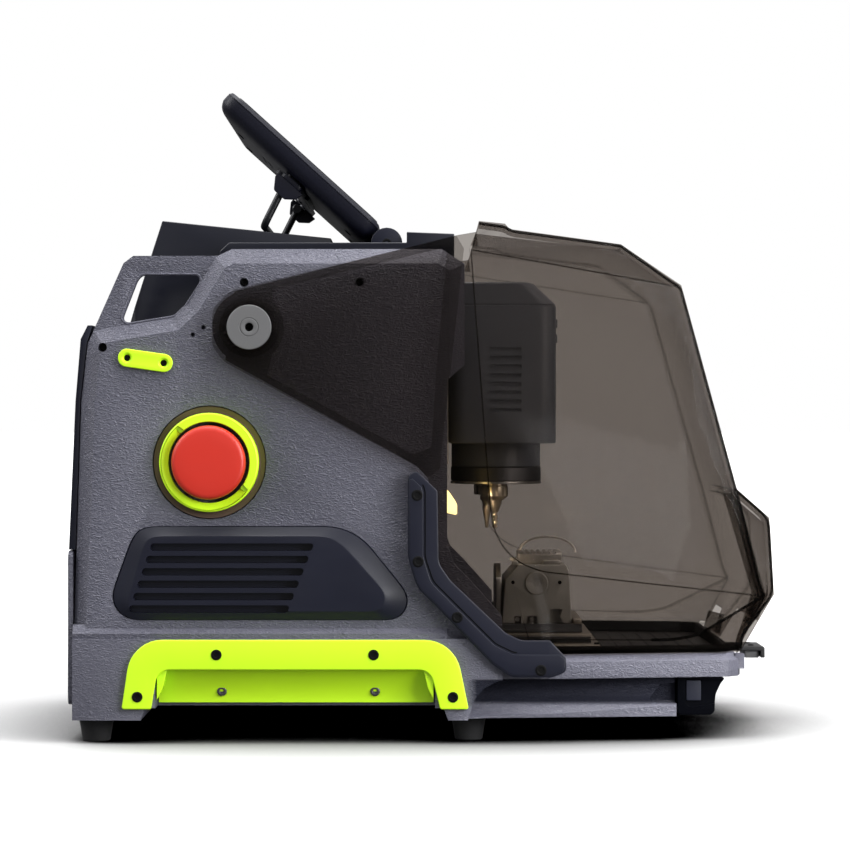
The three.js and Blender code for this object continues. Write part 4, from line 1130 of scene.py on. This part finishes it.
def vise():
    x0, x1 = 46.0, 86.4
    side = fillet([(x0, 58, 0.9), (x1, 58, 0.9), (x1 - 1.9, 88.5, 1.2), (x1 - 3.6, 91.8, 1.0), (x0 + 9.6, 91.8, 1.0), (x0 + 2, 83, 1.2)], 1.0)
    bm = slab([side], -30, 30, RIGHT, 0.5)
    body = piece("vise_block", bm, ALU_DARK, "x_table", 25)
    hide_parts("vise_body")
    cuts = [
        slab([fillet([(54, 57, 0), (52.6, 62.5, 0.8), (57.2, 62.5, 0.8), (57.2, 57, 0)], 0.3)], 22, 31, RIGHT),
        slab([fillet([(60.5, 57, 0), (60.5, 62.5, 0.8), (66.5, 62.5, 0.8), (66.5, 57, 0)], 0.3)], 22, 31, RIGHT),
        slab([fillet([(72, 57, 0), (74, 66.5, 0.6), (81, 66.5, 0.6), (79.5, 62, 0.4), (83, 57, 0)], 0.3)], 22, 31, RIGHT),
        slab([rounded_rect(55, 82, -3.9, 1.9, 0.4, 3)], 89.5, 93, UP),
        turned([(0, 29.2), (0.9, 29.2), (0.9, 31), (0, 31)], (52.5, 81.7), RIGHT, 16),
        turned([(0, 29.2), (0.9, 29.2), (0.9, 31), (0, 31)], (79.3, 81.7), RIGHT, 16),
        closed_ring([(7.1, 29.6), (7.5, 29.6), (7.5, 31), (7.1, 31)], (66, 81.3), RIGHT, 56),
        turned([(0, 29.2), (0.9, 29.2), (0.9, 31), (0, 31)], (52.5, 81.7), LEFT, 16),
        turned([(0, 29.2), (0.9, 29.2), (0.9, 31), (0, 31)], (79.3, 81.7), LEFT, 16),
    ]
    carve(body, merged(*cuts), 25)
    # Near-black discs in the vise's pin holes: painted shade.
    dots = [turned([(0, 29.0), (1.05, 29.0), (1.05, 30.15), (0, 30.15)], (x, 81.7), m, 16) for x in (52.5, 79.3) for m in (RIGHT, LEFT)]
    piece("vise_pin_holes", merged(*dots), PAINTED_SHADE_BLACK, "x_table")
    pins = [turned([(0, 23), (1.5, 23), (1.5, 28.6), (1.1, 29), (0, 29)], (x, z), RIGHT, 20) for x, z in ((54.9, 60.3), (63.5, 60.3))]
    pins.append(turned([(0, 58.0), (1.3, 58.0), (1.3, 62.4), (0, 62.4)], (63.5, -27), UP, 20))
    piece("vise_clamp_pins", merged(*pins), STEEL, "x_table")
    teeth = []
    for y0, y1, name in ((2, 18, "fixed"), (-19, -4, "moving")):
        out = fillet([(y0, 91.9, 0.4), (y1, 91.9, 0.4), (y1, 97.4, 0.8), (y1 - 2, 98.5, 0.6), (y0 + 2, 98.5, 0.6), (y0, 97.4, 0.8)], 0.4)
        m = FRONT
        bm = slab([out], 56, 81, m, 0.35)
        if name == "moving":
            p = piece("vise_moving_jaw", bm, STEEL, "jaw", 25)
            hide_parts("vise_jaw")
        else:
            p = piece("vise_fixed_jaw", bm, STEEL, "x_table", 25)
        cut = [slab([fillet([(58.5 + 3.4 * k, 97.3), (59.6 + 3.4 * k, 99), (60.4 + 3.4 * k, 99), (61.0 + 3.4 * k, 97.3)], 0.1)], -y1 - 1, -y0 + 1, RIGHT) for k in range(6)]
        carve(p, merged(*cut), 25)
    knob = turned(
        [(0, 30.2), (6.4, 30.2), (6.6, 30.4), (6.6, 30.9), (6.3, 31.2), (2.6, 31.2), (2.5, 31.1), (2.5, 30.7), (0, 30.7)], (66, 81.3), RIGHT, 60, hexagonal(60, 6))
    stem = turned([(0, -6), (3.2, -6), (3.2, 30.6), (0, 30.6)], (66, 81.3), RIGHT, 24)
    p = piece("vise_screw_head", merged(knob, stem), ALU_DARK, "knob", 30)
    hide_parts("vise_knob")
    arc = [Vector((57.5 + 16.5 * (1 - math.cos(math.radians(10 * k))) / 1.0, 12.0, 97.0 + 9.2 * math.sin(math.radians(10 * k)))) for k in range(19)]
    guard = tube(arc, 0.7, 10)
    piece("blank_guide_wire", guard, STEEL, "x_table")
    left = slab([fillet([(-26, 60, 1), (26, 60, 1), (26, 78, 2), (20, 90, 2), (-14, 92, 2), (-26, 84, 2)], 1)], 42.6, 45.9, FRONT, 0.5)
    piece("vise_side_plate", left, STEEL, "x_table")
    strip = [slab([rounded_rect(52, 55.6, a, b, 0.6, 4)], 91.7, 93.6, UP, 0.3) for a, b in ((-26, -20), (19, 26))]
    strip += [slab([rounded_rect(70, 80, a, b, 0.6, 4)], 91.7, 94.0, UP, 0.3) for a, b in ((-27, -21), (20, 27))]
    piece("vise_top_stops", merged(*strip), STEEL, "x_table")


ALU_DARK = machined("vise_bronzed_aluminium", (0.46, 0.45, 0.42), 0.45, (1.0, 30.0, 30.0), 70)


def cross_table():
    """Slide details: dovetail strips, wipers, end plates and table screws."""
    p = piece("x_slide_plate", slab([fillet([(-34, 53.4, 0.5), (34, 53.4, 0.5), (34, 55.2, 0.3), (32, 55.8, 0.3), (32, 58, 0.3), (-32, 58, 0.3), (-32, 55.8, 0.3), (-34, 55.2, 0.3)], 0.3)], 42, 92, FRONT, 0.4), DARK_STEEL, "x_table", 25)
    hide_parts("x_slide")
    stop = slab([rounded_rect(86.6, 91.8, -33, 33, 0.8, 4)], 58.0, 61.0, UP, 0.5)
    piece("x_slide_end_stop", stop, ALU, "x_table")
    heads = [turned([(0, 57.6), (2.2, 57.6), (2.2, 58.5), (1.8, 58.9), (1.2, 58.9), (1.1, 58.3), (0, 58.2)], (x, y), UP, 20, hexagonal(20, 4)) for x in (44.2,) for y in (-31, 31)]
    piece("x_slide_screws", merged(*heads), SCREW, "x_table")
    wipers = [slab([rounded_rect(38.4, 96.6, y0, y1, 0.6, 4)], 48.1, 51.5, UP, 0.3) for y0, y1 in ((-42.6, -40.2), (40.2, 42.6))]
    piece("y_slide_wipers", merged(*wipers), BLACK, "y_table")
    feet = [turned([(0, 47.7), (1.6, 47.7), (1.6, 48.7), (1.3, 49.0), (0.9, 49.0), (0.85, 48.5), (0, 48.4)], (x, y), UP, 20, hexagonal(20, 4)) for x in (35.9, 99.1) for y in (-52, 52)]
    piece("saddle_screws", merged(*feet), SCREW, "chassis")


# ------------------------------------------------------------------ cover edges

def cover_edges():
    """The thick, near-opaque corners of the moulded cover, and its finer creases."""
    bold = [
        [(31.6, 94.2, 282.9), (45.6, 94.2, 281.0), (50.0, 94.4, 278.4), (109.5, 94.4, 270.4)],
        [(109.5, 94.4, 270.4), (136.8, 96.4, 250.8), (141.8, 98.7, 247.6), (174.5, 94.1, 130.3), (186.2, 91.2, 83.8), (189.0, 88.2, 77.5)],
        [(178.8, 45.2, 134.9), (197.0, 45.2, 118.8), (198.7, 51.0, 76.3), (181.2, 54.0, 53.4), (179.9, 54.0, 46)],
        [(125, 111.3, 55.2), (137, 109.3, 55.2), (151, 105.3, 57.4), (188.4, 88.4, 77.4)],
        [(61, 118.8, 49.1), (120, 109.8, 49.1), (165.4, 101.7, 49.1), (173.8, 89, 49.1)],
    ]
    fine = [
        [(26.8, 123.2, 265.8), (36.9, 123.4, 131.4), (38.6, 123.3, 117.0), (44.4, 123.2, 105.4), (53.0, 122.9, 97.6), (64.7, 122.7, 93.0), (125, 106.1, 85.4), (188.8, 88.5, 77.6)],
        [(26.8, 123.0, 266.5), (141.6, 98.9, 247.6)],
        [(61, 121.8, 56.2), (125, 111.3, 55.2)],
        [(176.4, 88.6, 54.4), (189.2, 88.6, 77.0)],
    ]
    thick, thin, fill = [], [], []
    for path, inward in zip([*bold[:3], bold[4]], (1.5, 1.5, 1.5, -1.5)):
        for s in (-1, 1):
            fill.append(tube(soft_corners([(x, s * (y - 1.3), z) for x, y, z in inset(path, inward)], 5.0), 1.45, 10))
    piece("cover_wall_ends", merged(*fill), SMOKE_END, "cover", 50)
    for paths, r, bin_ in ((bold, 0.8, thick), (fine, 0.4, thin)):
        for path in paths:
            for s in (-1, 1):
                bin_.append(tube(soft_corners([(x, s * y, z) for x, y, z in path], 5.0), r, 8))
    piece("cover_bold_edges", merged(*thick), COVER_LINE, "cover", 50)
    piece("cover_fine_creases", merged(*thin), COVER_CREASE, "cover", 50)


def inset(path, inward):
    """The path moved inward in the XZ plane, so that a tube on it fills the end of the wall."""
    flat = [Vector((x, z)) for x, _, z in path]
    out = []
    for i, (x, y, z) in enumerate(path):
        along = (flat[min(i + 1, len(flat) - 1)] - flat[max(i - 1, 0)]).normalized()
        out.append((x + along.y * inward, y, z - along.x * inward))
    return out


def corner_bands():
    """The doubled plastic of the cover's two lower front corners."""
    corner = [(151, 106, 57.2), (189.6, 88.9, 77.4), (176.1, 88.9, 54.2), (174.5, 88.9, 48.5), (166, 102.4, 48.5)]
    bms, skirts = [], []
    for s in (-1, 1):
        bm = bmesh.new()
        rows = [[bm.verts.new((x + d * 0.3, s * (y + d * 0.8), z - d * 0.4)) for x, y, z in corner] for d in (0.1, 0.5)]
        for row in rows:
            for i in range(1, len(row) - 1):
                bm.faces.new((row[0], row[i], row[i + 1]))
        for i in range(len(corner)):
            j = (i + 1) % len(corner)
            bm.faces.new((rows[0][i], rows[0][j], rows[1][j], rows[1][i]))
        bms.append(bm)
        skirt = bmesh.new()
        low, high = ((180.2, 54, 45.6), (174.6, 88.6, 46.4)), ((183.4, 54, 57.4), (178.0, 88.6, 57.4))
        quads = [[skirt.verts.new((x - d, s * y, z)) for x, y, z in (low[0], low[1], high[1], high[0])] for d in (0.3, 0.9)]
        for quad in quads:
            skirt.faces.new(quad)
        for i in range(4):
            j = (i + 1) % 4
            skirt.faces.new((quads[0][i], quads[0][j], quads[1][j], quads[1][i]))
        skirts.append(skirt)
    piece("cover_corner_skirts", merged(*skirts), COVER_SKIRT, "cover", 50)
    piece("cover_corner_bands", merged(*bms), SMOKE_END, "cover", 50)


def soft_corners(points, radius, per=4):
    """A path of 3-D points whose inner corners are eased over the given length."""
    p = [Vector(q) for q in points]
    out = [p[0]]
    for a, b, c in zip(p, p[1:], p[2:]):
        reach = min(radius, 0.45 * (b - a).length, 0.45 * (c - b).length)
        start, end = b + (a - b).normalized() * reach, b + (c - b).normalized() * reach
        for k in range(per + 1):
            t = k / per
            out.append(start * (1 - t) ** 2 + b * 2 * t * (1 - t) + end * t ** 2)
    out.append(p[-1])
    return out


COVER_LINE = smoke("smoked_cover_corner", (0.22, 0.21, 0.20), (0.05, 0.045, 0.04), 0.08, (0.84, 0.83, 0.82))
SMOKE_END = smoke("smoked_cover_wall_end", (0.62, 0.595, 0.575), (0.45, 0.42, 0.40), 0.03, (0.97, 0.97, 0.97))
COVER_SKIRT = smoke("smoked_cover_skirt", (0.40, 0.38, 0.36), (0.30, 0.28, 0.26), 0.03)
COVER_CREASE = smoke("smoked_cover_crease", (0.50, 0.48, 0.46), (0.16, 0.15, 0.14), 0.14, (0.8, 0.79, 0.78))


def pull_tab():
    bar = slab([fillet([(177.6, 41.3, 0.5), (196.3, 41.3, 0.6), (196.3, 37.3, 0.5), (198.7, 37.3, 0.6), (198.7, 43.8, 1.4), (177.6, 43.8, 0.5)], 0.5)], -16, 16, RIGHT, 0.35)
    p = piece("pull_tab_lip", bar, BLACK, "cover")
    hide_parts("cover_pull_tab")
    block = slab([rounded_rect(187.5, 195.8, 36.9, 41.2, 0.8, 4)], -12, 12, RIGHT, 0.5)
    piece("pull_tab_magnet", block, WASHER, "cover")
    heads = [turned([(0, 43.6), (1.8, 43.6), (1.8, 44.1), (1.4, 44.4), (0.9, 44.4), (0.85, 44.0), (0, 43.9)], (191.5, y), UP, 18, hexagonal(18, 4)) for y in (-8, 8)]
    piece("pull_tab_screws", merged(*heads), SCREW, "cover")


# ------------------------------------------------------------------ drawer and base

def chip_drawer():
    half = 103.6
    shape = [(139.8, 34.2, 0.8), (166.4, 34.2, 0.9), (163.6, 30.6, 6), (160.9, 25.0, 8), (160.4, 19.6, 5), (160.3, 15.6, 2), (158.2, 13.6, 1.6), (141.2, 13.6, 1.4), (139.8, 15.6, 1.2)]
    front = slab([fillet(shape, 1)], -half, half, RIGHT, 0.6)
    p = piece("drawer_front", front, DRAWER_NAVY, "drawer", 30)
    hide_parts("chip_drawer")
    bites = []
    for m in (RIGHT, LEFT):
        bites.append(slab([fillet([(144.4, 33.0, 0.4), (168, 33.0, 0.4), (168, 20.2, 0.4), (163, 20.2, 4), (144.4, 17.6, 3)], 0.4)], half - 1.5, half + 1, m, 0.2))
    bites.append(slab([rounded_rect(-38, 38, 16.5, 25.5, 3, 6)], 155.5, 170, FRONT))
    carve(p, merged(*bites), 30)
    ribs = [slab([rounded_rect(144.8, 152.8, 21.5, 32.4, 0.6, 4)], half - 1.6, half - 0.3, m, 0.3) for m in (RIGHT, LEFT)]
    piece("drawer_end_pads", merged(*ribs), NAVY_LIGHT, "drawer")
    tray = loft(
        [(rounded_rect(66, 140.6, -94, 94, 4, 5), 17.0), (rounded_rect(66, 140.6, -94, 94, 4, 5), 32.6), (rounded_rect(66.4, 140.2, -93.6, 93.6, 3.8, 5), 33.0),
         (rounded_rect(67.6, 139, -92.4, 92.4, 3, 5), 33.0), (rounded_rect(68, 138.6, -92, 92, 3, 5), 32.4), (rounded_rect(68, 138.6, -92, 92, 3, 5), 20.5),
         (rounded_rect(69.5, 137.1, -90.5, 90.5, 2, 5), 19.0)], UP)
    piece("drawer_tray", tray, NAVY, "drawer", 30)


NAVY_LIGHT = satin("navy_plastic_lit", srgb(34, 36, 48), rough=0.4, spec=0.3)
DRAWER_NAVY = satin("navy_drawer", srgb(5, 6, 11), rough=0.5, grain=0.05, spec=0.03)


def chamber_gasket():
    """The soft black seal that stands on the rim just inside the closed cover."""
    path = [(64, 104.5), (118, 97.5), (160, 92.0), (170.5, 84), (170.5, 0)]
    outer = [*path, *[(x, -y) for x, y in reversed(path[:-1])]]
    inner = [(x - 2.4 if x > 165 else x, math.copysign(abs(y) - 2.4, y)) for x, y in outer]
    loop = fillet([(x, y, 5) for x, y in [*outer, *reversed(inner)]], 3)
    piece("chamber_gasket", slab([loop], 44.3, 50.6, UP, 0.5), RUBBER)


def tray_floor():
    """Ribs on the chamber's black rubber mat that lead chips to the drawer."""
    ribs = [slab([rounded_rect(104 + 9 * k, 106 + 9 * k, -78, 78, 0.9, 4)], 44.1, 44.9, UP, 0.25) for k in range(7)]
    piece("mat_ribs", merged(*ribs), BLACK)


def underside():
    """Pads below the base: the four rubber feet."""
    rings = []
    for x, y in ((-177.3, -104), (-177.3, 104), (25.9, -98), (25.9, 98)):
        rings.append(turned([(0, 0), (7.0, 0), (7.6, 0.5), (8.6, 7), (9.6, 12.0), (9.6, 12.5), (0, 12.5)], (x, y), UP, 40))
    names = ("rear_right", "rear_left", "front_right", "front_left")
    for ring, n in zip(rings, names):
        p = piece("rubber_foot_" + n, ring, RUBBER)
        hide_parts("foot_" + n)


# ------------------------------------------------------------------ back of the machine

def rear_details():
    """What the back shows: panel screws, a finer fan grille, inlet pins and louvres."""
    corners = [(-104, 27), (104, 27), (-104, 96), (104, 96), (0, 27), (0, 96)]
    fan_holes = [(-58 + a, 62 + b) for a in (-31, 31) for b in (-31, 31)]
    inlet_holes = [(22, 45), (58, 45)]
    heads = [screw_head(y, z, 2.6, 191.9, 0.9, BACK, 0.5) for y, z in [*corners, *fan_holes]]
    heads += [screw_head(y, z, 2.0, 191.9, 0.7, BACK, 0.5) for y, z in inlet_holes]
    piece("rear_panel_screws", merged(*heads), SCREW)
    rings = [closed_ring([(r - 0.5, 189.9), (r + 0.5, 189.9), (r + 0.5, 190.9), (r - 0.5, 190.9)], (-58, 62), BACK, 48) for r in (9.5, 19.8, 22.6)]
    spokes = [slab([rounded_rect(-58.6, -57.4, 68, 87, 0.3, 3)], 189.9, 190.7, BACK @ turn_about(-58, 62, 45 + 90 * k), 0.1) for k in range(4)]
    piece("fan_grille_rings", merged(*rings, *spokes), BLACK)
    pins = [slab([rounded_rect(y - 1.1, y + 1.1, z - 3.0, z + 3.0, 0.4, 3)], 187.0, 190.6, BACK, 0.3) for y, z in ((34.5, 44), (40, 47), (45.5, 44))]
    piece("inlet_pins", merged(*pins), STEEL)
    louvres = []
    for k in range(7):
        z = 133 + 7 * k
        louvres.append(slab([rounded_rect(-46, 46, z, z + 2.6, 1.2, 5)], 180, 200, BACK))
    drill("rear_cover_upper", merged(*louvres), before_rounding=True)
    # A near-black sheet behind the louvres: painted shade of the dark inside.
    shade_plate = slab([rounded_rect(-50, 50, 129, 182, 2, 4)], 184.1, 184.8, BACK)
    piece("rear_louvre_painted_shade", shade_plate, PAINTED_SHADE_BLACK)


def turn_about(u, v, degrees):
    return Matrix.Translation((u, v, 0)) @ Matrix.Rotation(math.radians(degrees), 4, "Z") @ Matrix.Translation((-u, -v, 0))


side_screws()
badges()
cover_arms()
emergency_stop()
guard_rails()
grip_trims()
vent_grilles()
handle_rims()
tablet()
prop()
head_housing()
head_flange()
tools()
lead_screw()
head_slides()
work_lamp()
vise()
cross_table()
cover_edges()
corner_bands()
pull_tab()
chip_drawer()
tray_floor()
underside()
chamber_gasket()
rear_details()


# ------------------------------------------------------------------ stage

def studio_floor():
    bm = bmesh.new()
    for x0, x1 in ((-14, 14),):
        bm.faces.new([bm.verts.new(p) for p in ((x0, -4, 0), (x1, -4, 0), (x1, 60, 0), (x0, 60, 0))])
    bmesh.ops.subdivide_edges(bm, edges=bm.edges, cuts=3, use_grid_fill=True)
    me = bpy.data.meshes.new("studio_floor")
    bm.to_mesh(me)
    bm.free()
    floor = bpy.data.objects.new("studio_floor", me)
    bpy.context.scene.collection.objects.link(floor)
    g = Graph("studio_paper", rough=0.9, spec=0.0)
    path = g.node("ShaderNodeLightPath").outputs
    seen, through = path["Is Camera Ray"], g.math("MINIMUM", path["Transparent Depth"], 1.0)
    paper = g.ramp(g.noise(2, 2), [(0.3, (0.53, 0.53, 0.53)), (0.7, (0.54, 0.54, 0.54))])
    # Painted shadow: ambient occlusion within 13 cm darkens the paper round the machine.
    near = g.node("ShaderNodeAmbientOcclusion")
    near.inputs["Distance"].default_value = 0.13
    near.samples = 16
    painted_contact_shadow = g.ramp(near.outputs["AO"], [(0.30, (0.0, 0.0, 0.0)), (0.60, (0.55, 0.55, 0.55)), (0.90, (1.0, 1.0, 1.0))])
    open_floor = g.mix(seen, (0.10, 0.10, 0.10), g.mix(1.0, paper, painted_contact_shadow, "MULTIPLY"))
    g.colour(g.mix(g.math("MULTIPLY", seen, through), open_floor, (0.0, 0.0, 0.0)))
    g.bsdf.inputs["Emission Color"].default_value = (1, 1, 1, 1)
    away = g.node("ShaderNodeVectorMath", operation="LENGTH")
    g.link(g.coord, away.inputs[0])
    lift = g.node("ShaderNodeMapRange", interpolation_type="SMOOTHSTEP")
    lift.inputs["From Min"].default_value = 0.34
    lift.inputs["From Max"].default_value = 0.9
    g.link(away.outputs["Value"], lift.inputs["Value"])
    g.link(g.math("MULTIPLY", seen, g.math("MAXIMUM", through, lift.outputs["Result"])), g.bsdf.inputs["Emission Strength"])
    me.materials.append(g.mat)


def area_light(name, place, target, size, power, colour=(1, 1, 1), size_y=None):
    data = bpy.data.lights.new(name, "AREA")
    data.energy = power
    data.color = colour
    data.shape = "RECTANGLE"
    data.size = size
    data.size_y = size_y or size
    light = bpy.data.objects.new(name, data)
    light.location = place
    light.rotation_euler = (Vector(target) - Vector(place)).to_track_quat("-Z", "Y").to_euler()
    bpy.context.scene.collection.objects.link(light)
    return light


def studio_world():
    """White to the camera; to everything else a soft tent, bright overhead and dim in front."""
    world = bpy.data.worlds.new("studio")
    world.use_nodes = True
    tree = world.node_tree
    new, link = tree.nodes.new, tree.links.new
    coord = new("ShaderNodeTexCoord").outputs["Generated"]
    split = new("ShaderNodeSeparateXYZ")
    link(coord, split.inputs[0])
    up = new("ShaderNodeValToRGB")
    stops = ((0.0, 0.2), (0.5, 0.34), (0.6, 0.5), (0.78, 1.15), (1.0, 1.9))
    while len(up.color_ramp.elements) < len(stops):
        up.color_ramp.elements.new(0.5)
    for element, (p, v) in zip(up.color_ramp.elements, stops):
        element.position = p
        element.color = (v, v, v * 1.01, 1)
    half = new("ShaderNodeMapRange")
    half.inputs["From Min"].default_value = -1.0
    link(split.outputs["Z"], half.inputs["Value"])
    link(half.outputs["Result"], up.inputs["Fac"])
    tent = tree.nodes["Background"]
    link(up.outputs["Color"], tent.inputs["Color"])
    tent.inputs["Strength"].default_value = 1.0
    white = new("ShaderNodeBackground")
    white.inputs["Color"].default_value = (1, 1, 1, 1)
    white.inputs["Strength"].default_value = 1.0
    chosen = new("ShaderNodeMixShader")
    link(new("ShaderNodeLightPath").outputs["Is Camera Ray"], chosen.inputs["Fac"])
    link(tent.outputs["Background"], chosen.inputs[1])
    link(white.outputs["Background"], chosen.inputs[2])
    link(chosen.outputs["Shader"], tree.nodes["World Output"].inputs["Surface"])
    bpy.context.scene.world = world


def lights():
    studio_world()
    area_light("top_box", (0.05, -0.12, 1.45), (0, 0, 0.1), 0.95, 17)
    area_light("right_strip", (1.5, -0.9, 0.9), (0.05, 0, 0.12), 0.5, 30, size_y=1.2)
    area_light("left_box", (-1.30, -0.2, 1.05), (-0.1, 0, 0.15), 0.6, 10)
    area_light("left_strip", (-1.5, -0.45, 0.3), (-0.1, 0, 0.2), 0.16, 1.4, size_y=1.3)
    area_light("rim_kick", (0.5, -0.62, 0.2), (0.12, -0.11, 0.035), 0.25, 2.8)
    lamp = bpy.data.lights.new("chamber_lamp", "SPOT")
    lamp.energy = 0.8
    lamp.color = (1.0, 0.84, 0.62)
    lamp.shadow_soft_size = 0.005
    lamp.spot_size = math.radians(44)
    lamp.spot_blend = 0.5
    o = bpy.data.objects.new("chamber_lamp", lamp)
    o.location = at(14, -68, 122)
    o.rotation_euler = (at(54, -10, 114) - at(14, -68, 122)).to_track_quat("-Z", "Y").to_euler()
    bpy.context.scene.collection.objects.link(o)


def camera():
    data = bpy.data.cameras.new("camera")
    data.lens = 113.7
    data.sensor_width = 36
    cam = bpy.data.objects.new("camera", data)
    cam.location = at(2, -1570, 172)
    cam.rotation_euler = (math.pi / 2, 0, 0)
    bpy.context.scene.collection.objects.link(cam)
    bpy.context.scene.camera = cam


studio_floor()
lights()
camera()
bpy.context.scene.view_settings.view_transform = "Standard"
bpy.context.scene.cycles.transparent_max_bounces = 28  # both walls of the cover, its ribs and its edges
